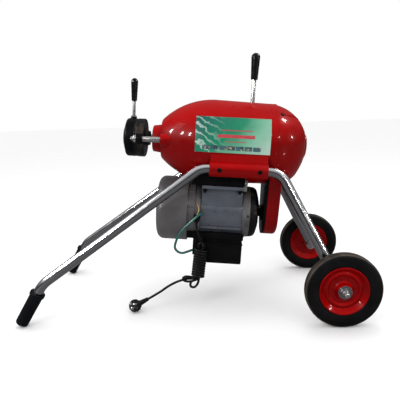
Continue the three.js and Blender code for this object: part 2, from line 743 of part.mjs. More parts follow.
for (const { name, sign } of SIDES) {
  const frontPath = frontLegPath(sign);
  const [, , knee, foot] = frontPath;
  const up = knee.clone().sub(foot).normalize();
  const tip = foot.clone().addScaledVector(up, -14.5);
  add(machine, `front_leg_${name}`,
    bentTube(roundedPath(frontPath, [LEG.frontBend, LEG.gripBend]), TUBE_RADIUS, 14), chrome);
  add(machine, `grip_${name}`, grip([tip.x, tip.y, tip.z], up), blackRubber);
  add(machine, `rear_leg_${name}`,
    bentTube(roundedPath(rearLegPath(sign), [LEG.rearBend]), TUBE_RADIUS, 14), chrome);

  const outward = new THREE.Vector3(0, sign, 0);
  const hub = [WHEEL.axleX, 0, WHEEL.radius];
  add(machine, `wheel_axle_${name}`, turnedAlong(outward, hub, [
    [172, 0],
    [172, 15],
    [207, 15],
    [207, 8],
    [244.5, 8],
    [244.5, 17],
    [247.5, 17],
    [247.5, 8],
    [268, 8],
    [268, 0],
  ], 12), zinc);
  const wheelPlace = [WHEEL.axleX, sign * WHEEL.planeY, WHEEL.radius];
  add(machine, `tyre_${name}`, turnedAlong(outward, wheelPlace, wheelProfile.tyre, 30), blackRubber);
  add(machine, `rim_${name}`, turnedAlong(outward, wheelPlace, wheelProfile.rim, 20), redEnamel);
}

// ---------------------------------------------------------------- wires and mains lead
const GLAND = { x: -65, y: -94, top: -206, bottom: -228 };
add(head, 'cord_gland', cut(
  join(
    rod(Z_AXIS, [GLAND.x, GLAND.y, 0], GLAND.bottom, GLAND.top, 7, 12),
    block([GLAND.x - 6, GLAND.x + 6], [GLAND.y, -76], [-225, -210])),
  onMotorAxis([[-120, 0], [-120, 79.9], [-40, 79.9], [-40, 0]], 20)), blackPlastic);

add(head, 'motor_lead', tube(smooth([
  [-68, -74, -174],
  [-66, -81, -178],
  [-61, -88, -188],
  [-62, -92.5, -198],
  [GLAND.x, GLAND.y, GLAND.top + 0.7],
]), 1.6, 8, 8), yellowWire);

add(head, 'earth_wire', tube(smooth([
  [-50, -80.5, -203],
  [-52, -92, -201],
  [-61, -104, -205],
  [-74, -107, -218],
  [-85, -107, -229],
  [-98, -106, -243],
  [-114, -104, -267],
  [-123, -102, -292],
  [-124, -100, -307],
  [-116, -98, -318],
  [-103, -94, -323],
  [-86, -84, -320],
  [-68, -77, -314],
  [-57, -71, -310],
  [-47, -69, -309],
]), 2.4, 8, 26), greenWire);

const fromAxle = (x, y, z) => [WHEEL.axleX + x, y, z];
const leadStart = headPoint(GLAND.x, GLAND.y, GLAND.bottom - GAP);
const leadNext = headPoint(GLAND.x, GLAND.y, GLAND.bottom - 12);
add(machine, 'cord_lead', tube(smooth([
  leadStart.toArray(),
  leadNext.toArray(),
  fromAxle(-384, -96, 232),
  fromAxle(-379, -99, 216),
  fromAxle(-373, -101.5, 204.2),
]), CORD_RADIUS, 10, 8), blackRubber);

// The hank leans a little: an upright oblong with round ends, thick enough for its turns.
const HANK = {
  length: 122, width: 36, depth: 32, leanDegrees: 8, at: fromAxle(-380.5, -101.5, 141.5),
};

function hank() {
  const half = HANK.length / 2 - HANK.width / 2;
  const shape = new THREE.Shape();
  shape.absarc(0, half, HANK.width / 2, 0, Math.PI, false);
  shape.absarc(0, -half, HANK.width / 2, Math.PI, 2 * Math.PI, false);
  return new THREE.ExtrudeGeometry(shape, { depth: HANK.depth, bevelEnabled: false, curveSegments: 10 })
    .translate(0, 0, -HANK.depth / 2)
    .rotateX(Math.PI / 2)
    .rotateY(THREE.MathUtils.degToRad(HANK.leanDegrees))
    .translate(...HANK.at);
}

add(machine, 'cord_hank', hank(), blackRubber);

const PLUG = {
  at: new THREE.Vector3(...fromAxle(-575, -128, 17.6)),
  facing: new THREE.Vector3(-0.25, -0.85, 0.46).normalize(),
  side: new THREE.Vector3(0.9, -0.05, 0.2),
  radius: 18,
};

function plug() {
  const centre = PLUG.at.toArray();
  const body = turnedAlong(PLUG.facing, centre, [
    [-9, 0],
    [-9, 12],
    [-5, 17],
    [7, PLUG.radius],
    [9, 17],
    [9, 0],
  ], 20);
  const relief = turnedAlong(PLUG.side, centre, [
    [4, 0],
    [4, 8.5],
    [22, 7.5],
    [44, 5.5],
    [44, 0],
  ], 12);
  const upright = Z_AXIS.clone().projectOnPlane(PLUG.facing).normalize();
  const across = new THREE.Vector3().crossVectors(upright, PLUG.facing);
  const blade = (offsetAcross, offsetUp, turn) => new THREE.BoxGeometry(1.8, 6.4, 17)
    .rotateZ(turn)
    .translate(offsetAcross, offsetUp, 17)
    .applyMatrix4(new THREE.Matrix4().makeBasis(across, upright, PLUG.facing))
    .translate(...centre);
  return join(body, relief, blade(-6.5, 4, 0.52), blade(6.5, 4, -0.52), blade(0, -8, 0));
}

add(machine, 'mains_plug', plug(), blackPlastic);

const alongRelief = (distance) =>
  PLUG.at.clone().addScaledVector(PLUG.side.clone().normalize(), distance);
add(machine, 'cord_tail', tube(smooth([
  fromAxle(-406, -101, 93),
  fromAxle(-420, -101, 93),
  fromAxle(-437, -101, 88),
  fromAxle(-456, -103, 78),
  fromAxle(-478, -108, 64),
  fromAxle(-499, -116, 49),
  alongRelief(62).toArray(),
  alongRelief(53).toArray(),
  alongRelief(44 + 2 * GAP).toArray(),
]), CORD_RADIUS, 10, 18), blackRubber);

export default machine;
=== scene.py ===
"""Looks of the sectional drain cleaning machine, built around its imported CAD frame.

Shapes are worked out in millimetres. The head (barrel, motor and feed head) has its own tilted
frame with X along the spindle to the rear, and the rest uses the machine's frame.
"""

import json
import math

import bmesh
import bpy
from mathutils import Matrix, Vector


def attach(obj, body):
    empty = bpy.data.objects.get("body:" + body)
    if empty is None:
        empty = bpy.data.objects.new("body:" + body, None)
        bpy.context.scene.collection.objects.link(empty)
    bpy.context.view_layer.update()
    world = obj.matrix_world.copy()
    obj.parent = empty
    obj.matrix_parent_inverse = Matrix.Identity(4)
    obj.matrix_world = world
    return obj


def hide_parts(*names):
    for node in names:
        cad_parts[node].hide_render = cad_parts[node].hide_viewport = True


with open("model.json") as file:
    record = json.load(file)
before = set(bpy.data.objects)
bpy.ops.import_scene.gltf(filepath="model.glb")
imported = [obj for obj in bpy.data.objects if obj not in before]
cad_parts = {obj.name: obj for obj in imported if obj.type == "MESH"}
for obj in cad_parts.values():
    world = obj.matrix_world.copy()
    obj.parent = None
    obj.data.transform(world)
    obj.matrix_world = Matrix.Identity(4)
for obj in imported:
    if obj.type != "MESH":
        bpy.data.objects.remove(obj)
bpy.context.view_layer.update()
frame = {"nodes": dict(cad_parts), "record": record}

MM = 0.001
AXLE_X = 393.6
HEAD_Z = 479.4
TILT = math.radians(4.8)
HEAD = Matrix.Translation((AXLE_X - 300, 0, HEAD_Z)) @ Matrix.Rotation(TILT, 4, "Y")
MACHINE = Matrix.Identity(4)
MOTOR_Z = -208
SIDES = (("left", -1), ("right", 1))
shift = Matrix.Translation
CREASE = math.radians(40)

BARREL_RADIUS, BARREL_TAPER, CROWN_X = 121.5, 0.0255, -30
SHOULDER_ARC, BARREL_WALL = 214, 7
CAP_CENTRE, CAP_LENGTH, CAP_RADIUS, BELLY_DROP = 120, 123, 118, 14
SOCKET_Y, SOCKET_Z = 118, -68
ROD_Y = 68
TUBE_RADIUS = 13.8
WHEEL_Y, WHEEL_RADIUS = 225.7, 100
X_AXIS, Y_AXIS, Z_AXIS = Vector((1, 0, 0)), Vector((0, 1, 0)), Vector((0, 0, 1))


# ---------------------------------------------------------------- camera and light
def linked(name, data):
    """A new object with the given data, in the scene."""
    obj = bpy.data.objects.new(name, data)
    bpy.context.collection.objects.link(obj)
    return obj


CAMERA_PLACE = (0.078007, -1.296309, 0.554002)
CAMERA_TURN = (2.691, 10.882, -1.936)


def add_camera():
    """The photo's view. The camera's turn is its yaw, pitch and roll in degrees."""
    yaw, pitch, roll = (math.radians(angle) for angle in CAMERA_TURN)
    level = math.cos(pitch)
    forward = Vector((-math.sin(yaw) * level, math.cos(yaw) * level, -math.sin(pitch)))
    right = Vector((math.cos(yaw), math.sin(yaw), 0))
    up = right.cross(forward)
    right, up = (
        right * math.cos(roll) + up * math.sin(roll),
        up * math.cos(roll) - right * math.sin(roll),
    )
    data = bpy.data.cameras.new("camera")
    data.sensor_width = 36
    data.lens = 38.7
    camera = linked("camera", data)
    turn = Matrix((right, up, -forward)).transposed().to_4x4()
    camera.matrix_world = shift(CAMERA_PLACE) @ turn
    bpy.context.scene.camera = camera


def add_light(name, place, size, power, target=(0, 0, 0.35), height=None, gleam=False):
    """A soft area lamp, or with gleam one that only shows as a highlight in glossy surfaces."""
    data = bpy.data.lights.new(name, "AREA")
    data.energy = power
    data.size = size
    if height:
        data.shape = "RECTANGLE"
        data.size_y = height
    light = linked(name, data)
    light.location = place
    aim = Vector(target) - Vector(place)
    light.rotation_euler = aim.to_track_quat("-Z", "Y").to_euler()
    light.visible_glossy = gleam
    light.visible_diffuse = not gleam


def connect(tree, made, inputs):
    """Gives each of a node's inputs its value, or the socket that feeds it."""
    for key, value in inputs.items():
        if isinstance(value, bpy.types.NodeSocket):
            tree.links.new(value, made.inputs[key])
        else:
            made.inputs[key].default_value = value


def node(tree, kind, inputs=None, **settings):
    """A new shader node."""
    made = tree.nodes.new(kind)
    for key, value in settings.items():
        setattr(made, key, value)
    connect(tree, made, inputs or {})
    return made


def new_material(name):
    material = bpy.data.materials.new(name)
    material.use_nodes = True
    tree = material.node_tree
    return material, tree, tree.nodes["Principled BSDF"]


def mix_colour(tree, factor, first, second):
    made = node(tree, "ShaderNodeMix", {0: factor, 6: first, 7: second}, data_type="RGBA")
    return made.outputs[2]


def remap(tree, value, low, high, out_low=0.0, out_high=1.0):
    made = node(tree, "ShaderNodeMapRange", {
        "Value": value, "From Min": low, "From Max": high, "To Min": out_low, "To Max": out_high})
    return made.outputs["Result"]


def add_world():
    """White all round, with a darker band near the horizon that only reflections see."""
    world = bpy.data.worlds.new("world")
    bpy.context.scene.world = world
    world.use_nodes = True
    tree = world.node_tree
    tree.nodes.clear()
    direction = node(tree, "ShaderNodeTexCoord").outputs["Generated"]
    height = node(tree, "ShaderNodeSeparateXYZ", {"Vector": direction}).outputs["Z"]
    ramp = node(tree, "ShaderNodeValToRGB", {"Fac": remap(tree, height, -0.2, 1.0)})
    stops = ramp.color_ramp.elements
    stops[0].position, stops[0].color = 0.25, (0.04, 0.04, 0.042, 1)
    stops[1].position, stops[1].color = 0.85, (0.8, 0.81, 0.83, 1)
    reflected = node(tree, "ShaderNodeBackground", {"Color": ramp.outputs["Color"], "Strength": 0.8})
    plain = node(tree, "ShaderNodeBackground", {"Color": (1, 1, 1, 1), "Strength": 1.0})
    ray = node(tree, "ShaderNodeLightPath").outputs["Is Glossy Ray"]
    mixed = node(tree, "ShaderNodeMixShader", {0: ray, 1: plain.outputs[0], 2: reflected.outputs[0]})
    node(tree, "ShaderNodeOutputWorld", {"Surface": mixed.outputs[0]})


# ---------------------------------------------------------------- materials
def noise(tree, coordinates, scale, detail=4.0):
    made = node(tree, "ShaderNodeTexNoise", {"Vector": coordinates, "Scale": scale, "Detail": detail})
    return made.outputs["Fac"]


def upwardness(tree):
    """How far a face looks up: 1 upwards, 0 sideways, -1 downwards."""
    normal = node(tree, "ShaderNodeNewGeometry").outputs["Normal"]
    return node(tree, "ShaderNodeSeparateXYZ", {"Vector": normal}).outputs["Z"]


def shade(colour, factor):
    return tuple(min(1.0, c * factor) for c in colour[:3]) + (1.0,)


MATERIALS = {}


def surface(name, colour, rough, metal=0.0, coat=0.0, mottle=(20, 0.15), spread=0.08,
            grain=(900, 0.05), dust=None, specks=None, specular=0.5, painted_shade_below=1.0):
    """A painted, cast, plated or moulded finish.

    mottle is the scale and strength of slow colour change, spread the same change in roughness,
    grain the scale and strength of the fine bump, dust a colour and amount that settles on upward
    faces and in patches, specks a colour, scale and share of small spots, and painted_shade_below
    how much of its brightness the finish keeps on its lower faces: painted shade, darker downwards.
    """
    material, tree, shader = new_material(name)
    where = node(tree, "ShaderNodeTexCoord").outputs["Object"]
    slow = remap(tree, noise(tree, where, mottle[0], 5.0), 0.3, 0.7)
    base = mix_colour(tree, slow, shade(colour, 1 - mottle[1]), shade(colour, 1 + mottle[1]))
    if specks:
        speck_colour, speck_scale, share = specks
        spots = noise(tree, where, speck_scale, 2.0)
        base = mix_colour(tree, remap(tree, spots, 1 - share, 1.04 - share), base, shade(speck_colour, 1))
    if dust:
        dust_colour, amount = dust
        patches = remap(tree, noise(tree, where, 35, 6.0), 0.42, 0.72, 0, amount)
        settled = remap(tree, upwardness(tree), -0.2, 1.0, 0.25, 1.0)
        factor = node(tree, "ShaderNodeMath", {0: patches, 1: settled}, operation="MULTIPLY").outputs[0]
        base = mix_colour(tree, factor, base, shade(dust_colour, 1))
    # Painted shade: faces that look sideways or down are darkened towards this share of the colour, as if in
    # shadow.
    if painted_shade_below < 1:
        base = mix_colour(tree, remap(tree, upwardness(tree), 0.0, 0.55), shade(colour, painted_shade_below), base)
    fine = noise(tree, where, grain[0], 3.0)
    rough_noise = noise(tree, where, mottle[0] * 3, 6.0)
    bump = node(tree, "ShaderNodeBump", {"Height": fine, "Strength": grain[1], "Distance": 0.0006})
    connect(tree, shader, {
        "Base Color": base, "Metallic": metal, "Specular IOR Level": specular,
        "Roughness": remap(tree, rough_noise, 0.3, 0.7, max(0.02, rough - spread), rough + spread),
        "Normal": bump.outputs["Normal"], "Coat Weight": coat, "Coat Roughness": 0.06})
    MATERIALS[name] = material


# Red enamel with painted shade: its sideways and lower faces are darkened to 0.45 of its colour.
surface("red_enamel", (0.335, 0.0002, 0.0006), 0.34, coat=0.12, mottle=(9, 0.12), grain=(60, 0.10),
        specks=((0.11, 0.0, 0.0), 260, 0.2), specular=0.03, painted_shade_below=0.45)
# A darker copy of the red enamel for the belt guard: painted shade, as if the guard stood in shadow.
surface("shaded_guard_red", (0.135, 0.0004, 0.0008), 0.4, coat=0.08, mottle=(12, 0.2), grain=(60, 0.15),
        specks=((0.06, 0.0, 0.0), 200, 0.25), specular=0.04)
surface("black_paint", (0.002, 0.002, 0.0026), 0.42, mottle=(30, 0.35), grain=(500, 0.12),
        dust=((0.07, 0.055, 0.045), 0.03), specular=0.05)
surface("grey_paint", (0.090, 0.085, 0.088), 0.42, metal=0.25, mottle=(14, 0.15), grain=(700, 0.08),
        dust=((0.19, 0.175, 0.165), 0.2), specular=0.3)
surface("stator_paint", (0.085, 0.095, 0.115), 0.34, metal=0.45, mottle=(18, 0.15), grain=(600, 0.08))
surface("dark_cast", (0.004, 0.0038, 0.004), 0.5, mottle=(45, 0.5), grain=(260, 0.35),
        specks=((0.035, 0.022, 0.014), 50, 0.36), specular=0.12)
surface("rusty_cast", (0.028, 0.015, 0.009), 0.7, mottle=(60, 0.6), grain=(300, 0.5),
        specks=((0.008, 0.006, 0.005), 70, 0.45), specular=0.15)
surface("bell_cast", (0.088, 0.086, 0.087), 0.5, metal=0.3, mottle=(30, 0.4), grain=(260, 0.3),
        specks=((0.02, 0.02, 0.02), 60, 0.34), specular=0.3)
surface("black_plastic", (0.0025, 0.0025, 0.003), 0.36, mottle=(25, 0.25), grain=(1400, 0.12),
        dust=((0.05, 0.047, 0.043), 0.03), specular=0.06)
surface("knob_plastic", (0.0035, 0.0035, 0.004), 0.22, coat=0.15, mottle=(30, 0.1), grain=(300, 0.02),
        specular=0.12)
surface("grip_rubber", (0.003, 0.0034, 0.0045), 0.5, mottle=(30, 0.3), grain=(1500, 0.2),
        dust=((0.05, 0.045, 0.04), 0.02), specular=0.05)
surface("tyre_rubber", (0.003, 0.003, 0.0036), 0.46, mottle=(22, 0.4), grain=(700, 0.3),
        dust=((0.05, 0.045, 0.04), 0.05), specular=0.06)
surface("tread_rubber", (0.032, 0.024, 0.018), 0.75, mottle=(28, 0.45), grain=(500, 0.5),
        dust=((0.11, 0.085, 0.062), 0.6), specular=0.15)
# Chrome with painted shade: its sideways and lower faces are darkened to a third of its colour, a painted
# darker reflection.
surface("chrome", (0.72, 0.72, 0.73), 0.14, metal=1.0, mottle=(16, 0.10), spread=0.05, grain=(420, 0.006),
        specks=((0.35, 0.32, 0.28), 170, 0.24), painted_shade_below=0.33)
# Zinc with painted shade: its sideways and lower faces are darkened to 0.6 of its colour.
surface("zinc", (0.52, 0.51, 0.49), 0.3, metal=1.0, mottle=(60, 0.08), grain=(900, 0.006), painted_shade_below=0.6)
surface("steel", (0.17, 0.17, 0.18), 0.35, metal=1.0, mottle=(60, 0.12), grain=(900, 0.01))
surface("nickel", (0.85, 0.85, 0.84), 0.3, metal=0.8, mottle=(60, 0.06), grain=(900, 0.02))
surface("wire_green", (0.003, 0.085, 0.07), 0.32, mottle=(90, 0.25), grain=(900, 0.05))
surface("wire_yellow", (0.50, 0.27, 0.03), 0.35, mottle=(90, 0.2), grain=(900, 0.05))
surface("cord_black", (0.004, 0.004, 0.0045), 0.38, mottle=(60, 0.3), grain=(1800, 0.12), specular=0.12)
surface("print_red", (0.42, 0.02, 0.03), 0.4, mottle=(120, 0.2), grain=(900, 0.02))
surface("print_dark", (0.02, 0.07, 0.09), 0.4, mottle=(70, 0.6), grain=(900, 0.02),
        specks=((0.35, 0.22, 0.12), 110, 0.42))


# ---------------------------------------------------------------- mesh helpers
def along(axis, origin=(0, 0, 0)):
    """A placing matrix that lays local X along the given axis from the given point."""
    return shift(origin) @ X_AXIS.rotation_difference(Vector(axis)).to_matrix().to_4x4()


def filleted(points, closed=False, steps=5):
    """Profile points whose third number is the radius that rounds them."""
    out = []
    count = len(points)
    for i, point in enumerate(points):
        here = Vector(point[:2])
        radius = point[2] if len(point) > 2 else 0
        if not radius or (not closed and i in (0, count - 1)):
            out.append(here)
            continue
        before = (Vector(points[i - 1][:2]) - here).normalized()
        after = (Vector(points[(i + 1) % count][:2]) - here).normalized()
        half = before.angle(after) / 2
        reach = radius / math.tan(half)
        centre = here + (before + after).normalized() * (radius / math.sin(half))
        start, end = here + before * reach - centre, here + after * reach - centre
        sweep = start.angle_signed(end)
        for k in range(steps + 1):
            turn = -sweep * k / steps
            c, s = math.cos(turn), math.sin(turn)
            out.append(centre + Vector((start.x * c - start.y * s, start.x * s + start.y * c)))
    return out


def spin(bm, profile, segments=72, closed=True, radius_at=None, steps=5):
    """Adds the shape that a profile of (x, radius, optional rounding) sweeps about local X."""
    rings = []
    for x, radius in filleted(profile, closed, steps):
        if radius < 1e-6:
            rings.append([bm.verts.new((x, 0, 0))])
            continue
        ring = []
        for k in range(segments):
            angle = 2 * math.pi * k / segments
            r = radius_at(x, radius, angle) if radius_at else radius
            ring.append(bm.verts.new((x, r * math.cos(angle), r * math.sin(angle))))
        rings.append(ring)
    pairs = list(zip(rings, rings[1:]))
    if closed:
        pairs.append((rings[-1], rings[0]))
    for first, second in pairs:
        if len(first) == 1 and len(second) == 1:
            continue
        for k in range(segments):
            n = (k + 1) % segments
            corners = [first[k % len(first)], first[n % len(first)],
                       second[n % len(second)], second[k % len(second)]]
            bm.faces.new(list(dict.fromkeys(corners)))


def rod(bm, x0, x1, radius, rounding=0.8, segments=32, inner=0.0):
    """Adds a rod about local X with rounded rims, or a tube where it has an inner radius."""
    profile = [(x0, inner), (x0, radius, rounding), (x1, radius, rounding), (x1, inner)]
    spin(bm, profile, segments, closed=inner > 0, steps=3)


def block(bm, x, y, z, rounding=1.0, segments=3):
    """Adds a box with rounded edges."""
    made = bmesh.ops.create_cube(bm, size=1.0, matrix=shift(
        ((x[0] + x[1]) / 2, (y[0] + y[1]) / 2, (z[0] + z[1]) / 2))
        @ Matrix.Diagonal((x[1] - x[0], y[1] - y[0], z[1] - z[0], 1)))
    if rounding:
        edges = list({edge for vert in made["verts"] for edge in vert.link_edges})
        bmesh.ops.bevel(bm, geom=edges, offset=rounding, segments=segments, affect="EDGES", profile=0.5)


def sweep(bm, points, radius, sides=16):
    """Adds a tube along points, with closed ends."""
    points = [Vector(p) for p in points]
    count = len(points)
    tangents = [(points[min(i + 1, count - 1)] - points[max(i - 1, 0)]).normalized() for i in range(count)]
    normal = tangents[0].orthogonal().normalized()
    rings = []
    for i, (point, tangent) in enumerate(zip(points, tangents)):
        if i:
            normal = tangents[i - 1].rotation_difference(tangent) @ normal
        side = tangent.cross(normal)
        ring = []
        for k in range(sides):
            angle = 2 * math.pi * k / sides
            ring.append(bm.verts.new(point + (normal * math.cos(angle) + side * math.sin(angle)) * radius))
        rings.append(ring)
    for first, second in zip(rings, rings[1:]):
        for k in range(sides):
            bm.faces.new([first[k], first[(k + 1) % sides], second[(k + 1) % sides], second[k]])
    bm.faces.new(rings[0][::-1])
    bm.faces.new(rings[-1])


def loft(bm, outlines):
    """Adds the solid between closed outlines that all have the same number of points."""
    rings = [[bm.verts.new(p) for p in outline] for outline in outlines]
    count = len(rings[0])
    for first, second in zip(rings, rings[1:]):
        for k in range(count):
            bm.faces.new([first[k], first[(k + 1) % count], second[(k + 1) % count], second[k]])
    bm.faces.new(rings[0][::-1])
    bm.faces.new(rings[-1])


def hex_bar(bm, x0, x1, across_flats, rounding=0.5):
    """Adds a hexagonal bar about local X with slightly drawn-in ends."""
    corner = across_flats / 2 / math.cos(math.pi / 6)
    outlines = []
    for x, share in ((x0, 0.94), (x0 + rounding, 1), (x1 - rounding, 1), (x1, 0.94)):
        radius = corner * share
        outlines.append([(x, radius * math.cos(math.pi * k / 3), radius * math.sin(math.pi * k / 3))
                         for k in range(6)])
    loft(bm, outlines)


def moved(bm, place, shape, *sizes, **options):
    """Adds a shape of the given sizes, moved by the place matrix."""
    part = bmesh.new()
    shape(part, *sizes, **options)
    part.transform(place)
    mesh = bpy.data.meshes.new("part")
    part.to_mesh(mesh)
    part.free()
    bm.from_mesh(mesh)
    bpy.data.meshes.remove(mesh)


def around(bm, count, shape, *sizes, phase=0.0, place=Matrix.Identity(4), **options):
    """Adds copies of a shape, evenly spaced about local X."""
    for k in range(count):
        turn = Matrix.Rotation(phase + 2 * math.pi * k / count, 4, "X")
        moved(bm, turn @ place, shape, *sizes, **options)


def to_side(sign, inner, outer):
    """The span between two distances from the middle plane, on one side of it."""
    return (inner, outer) if sign > 0 else (-outer, -inner)


def solid(name, build, place):
    """A linked object: build(bm) shapes it in millimetres, in the frame that place gives."""
    bm = bmesh.new()
    build(bm)
    bmesh.ops.recalc_face_normals(bm, faces=bm.faces)
    mesh = bpy.data.meshes.new(name)
    bm.to_mesh(mesh)
    bm.free()
    mesh.transform(Matrix.Scale(MM, 4) @ place)
    return linked(name, mesh)


def smooth(mesh):
    """Smooth shading, with sharp edges where the surface turns by more than CREASE."""
    mesh.shade_smooth()
    mesh.set_sharp_from_angle(angle=CREASE)


def piece(name, build, finish, place=HEAD, body="frame", replaces=()):
    """One visible piece, which rides on a CAD body and stands in for the nodes it replaces."""
    obj = solid(name, build, place)
    smooth(obj.data)
    obj.data.materials.append(MATERIALS[finish])
    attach(obj, body)
    if replaces:
        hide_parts(*replaces)
    return obj


def cut_away(obj, name, build, place=HEAD):
    """Cuts a shape out of a piece."""
    cutter = solid(name, build, place)
    modifier = obj.modifiers.new("cut", "BOOLEAN")
    modifier.operation = "DIFFERENCE"
    modifier.object = cutter
    modifier.solver = "EXACT"
    bpy.context.view_layer.update()
    result = bpy.data.meshes.new_from_object(obj.evaluated_get(bpy.context.evaluated_depsgraph_get()))
    obj.modifiers.clear()
    materials = list(obj.data.materials)
    obj.data = result
    obj.data.materials.clear()
    for material in materials:
        obj.data.materials.append(material)
    bpy.data.objects.remove(cutter)
    smooth(obj.data)


def curve_through(points, per_span=8):
    """A smooth line through points (centripetal Catmull-Rom)."""
    points = [Vector(p) for p in points]
    padded = [points[0] * 2 - points[1]] + points + [points[-1] * 2 - points[-2]]
    out = []
    for i in range(1, len(padded) - 2):
        p = padded[i - 1:i + 3]
        t = [0.0]
        for a, b in zip(p, p[1:]):
            t.append(t[-1] + max((b - a).length, 1e-6) ** 0.5)
        for k in range(per_span):
            u = t[1] + (t[2] - t[1]) * k / per_span
            a1 = p[0] * ((t[1] - u) / (t[1] - t[0])) + p[1] * ((u - t[0]) / (t[1] - t[0]))
            a2 = p[1] * ((t[2] - u) / (t[2] - t[1])) + p[2] * ((u - t[1]) / (t[2] - t[1]))
            a3 = p[2] * ((t[3] - u) / (t[3] - t[2])) + p[3] * ((u - t[2]) / (t[3] - t[2]))
            b1 = a1 * ((t[2] - u) / (t[2] - t[0])) + a2 * ((u - t[0]) / (t[2] - t[0]))
            b2 = a2 * ((t[3] - u) / (t[3] - t[1])) + a3 * ((u - t[1]) / (t[3] - t[1]))
            out.append(b1 * ((t[2] - u) / (t[2] - t[1])) + b2 * ((u - t[1]) / (t[2] - t[1])))
    return out + [points[-1]]


def head_point(x, y, z):
    return HEAD @ Vector((x, y, z))


def from_axle(x, y, z):
    return Vector((AXLE_X + x, y, z))


add_camera()
add_world()

# ---------------------------------------------------------------- mains lead, hank and plug
CORD_RADIUS = 3.5
HANK_CENTRE = from_axle(-379, -101.5, 144)
HANK_LEAN = Matrix.Rotation(math.radians(8), 4, "Y")
PLUG_CENTRE = from_axle(-570, -128, 19)
PLUG_FACING = Vector((-0.25, -0.85, 0.46)).normalized()
PLUG_SIDE = Vector((0.84, -0.02, 0.46)).normalized()
LEAD_EXIT = head_point(-65, -94, -228.3)


def in_hank(across, near, up):
    """A point of the hank: across its width, away from the viewer's side, and along it upwards."""
    return HANK_CENTRE + HANK_LEAN @ Vector((across, near, up))


def hank_wraps(turns=11, top=37.0, pitch=7.7):
    """The turns wound round the hank's runs, from the top down."""
    points = []
    for k in range(turns * 12 + 1):
        angle = math.pi / 2 + 2 * math.pi * k / 12
        points.append(in_hank(16.4 * math.cos(angle), 13.4 * math.sin(angle), top - pitch * k / 12))
    return points


def cord_route():
    lead = [LEAD_EXIT, head_point(-65, -94, -235), head_point(-64.5, -94, -242),
            from_axle(-382, -95, 228), from_axle(-378, -95, 214), from_axle(-374, -95, 202)]
    first_run = [(-2.5, 5, 48), (-3.8, 3.9, 32), (-3.8, 3.7, 8), (-3.8, 3.7, -24), (-4.4, 3.7, -50)]
    small_loop = [(-10, 3.5, -61), (-18.5, 2, -71), (-17.5, 0, -81.5), (-7, -2, -82), (1.5, -3.3, -70),
                  (3.8, -3.7, -54)]
    second_run = [(3.8, -3.7, -25), (3.8, -3.7, 6), (4.2, -3.7, 34)]
    top_loop = [(7.6, -4.2, 44), (6.4, -4.6, 52), (0, -4.8, 55.5), (-6.4, -4.6, 52), (-7.6, -4.2, 44),
                (-4.2, -3.8, 32)]
    third_run = [(-3.8, -3.7, 6), (-3.8, -3.7, -22), (-4.8, -4.4, -41)]
    big_loop = [(-12, -7.5, -49), (-23, -9, -49), (-35, -8.5, -50), (-42, -6, -56), (-39, -4.5, -64),
                (-26, -2.6, -66.5), (-10, 1.5, -63), (1, 3.6, -56), (3.8, 3.9, -44)]
    fourth_run = [(3.8, 3.7, -20), (3.8, 3.7, 8), (4.2, 4.0, 28), (8.5, 6.5, 38), (7, 11.5, 39.5)]
    folded = first_run + small_loop + second_run + top_loop + third_run + big_loop + fourth_run
    tail = [in_hank(-10, 11.8, -53), from_axle(-404, -99, 89), from_axle(-417, -102, 89.5),
            from_axle(-434, -104, 86), from_axle(-455, -107, 79), from_axle(-476, -112, 69),
            from_axle(-496, -118, 57), PLUG_CENTRE + PLUG_SIDE * 56, PLUG_CENTRE + PLUG_SIDE * 44.6]
    return curve_through(lead + [in_hank(*point) for point in folded] + hank_wraps() + tail, per_span=4)


def add_cord():
    points = cord_route()
    data = bpy.data.curves.new("mains_cord", "CURVE")
    data.dimensions = "3D"
    data.bevel_depth = CORD_RADIUS * MM
    data.bevel_resolution = 4
    data.use_fill_caps = True
    spline = data.splines.new("POLY")
    spline.points.add(len(points) - 1)
    for target, point in zip(spline.points, points):
        target.co = (*(point * MM), 1)
        target.radius = 1
    spline.use_smooth = True
    data.materials.append(MATERIALS["cord_black"])
    cord = linked("mains_cord", data)
    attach(cord, "frame")
    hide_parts("cord_lead", "cord_hank", "cord_tail")
    return cord


def build_plug(bm):
    spin(bm, [(-9, 0), (-9, 13, 2), (-6, 16.5, 3), (6, 18, 1.5), (8.6, 17, 1.5), (8.6, 15.2, 0.4),
              (7.2, 14.4, 0.4), (7.2, 0)], 56, closed=False, steps=3)
    around(bm, 12, block, (-5, 5), (17, 18.4), (-1.2, 1.2), 0.4)


def build_relief(bm):
    profile = [(4, 0), (4, 8.5, 1), (20, 7.8, 1)]
    for k in range(5):
        x = 22 + 4.4 * k
        radius = 7.4 - 0.42 * k
        profile += [(x, radius, 0.3), (x + 0.4, radius - 1.1, 0.3),
                    (x + 1.5, radius - 1.1, 0.3), (x + 1.9, radius, 0.3)]
    spin(bm, profile + [(44, 5.4, 1), (44, 0)], 40, closed=False, steps=2)


def plug_frame():
    up = (Z_AXIS - PLUG_FACING * Z_AXIS.dot(PLUG_FACING)).normalized()
    across = up.cross(PLUG_FACING)
    turn = Matrix((PLUG_FACING, across, up)).transposed().to_4x4()
    return shift(PLUG_CENTRE) @ turn


def build_blades(bm):
    for across, up, lean in ((-6.5, 4, 30), (6.5, 4, -30), (0, -8, 0)):
        turn = shift((0, across, up)) @ Matrix.Rotation(math.radians(lean), 4, "X")
        moved(bm, turn, block, (6, 24), (-0.8, 0.8), (-3, 3), 0.4)


cord = add_cord()
plug = piece("plug_body", build_plug, "black_plastic", plug_frame(), replaces=("mains_plug",))
relief = piece("plug_relief", build_relief, "black_plastic", along(PLUG_SIDE, PLUG_CENTRE))
blades = piece("plug_blades", build_blades, "nickel", plug_frame())


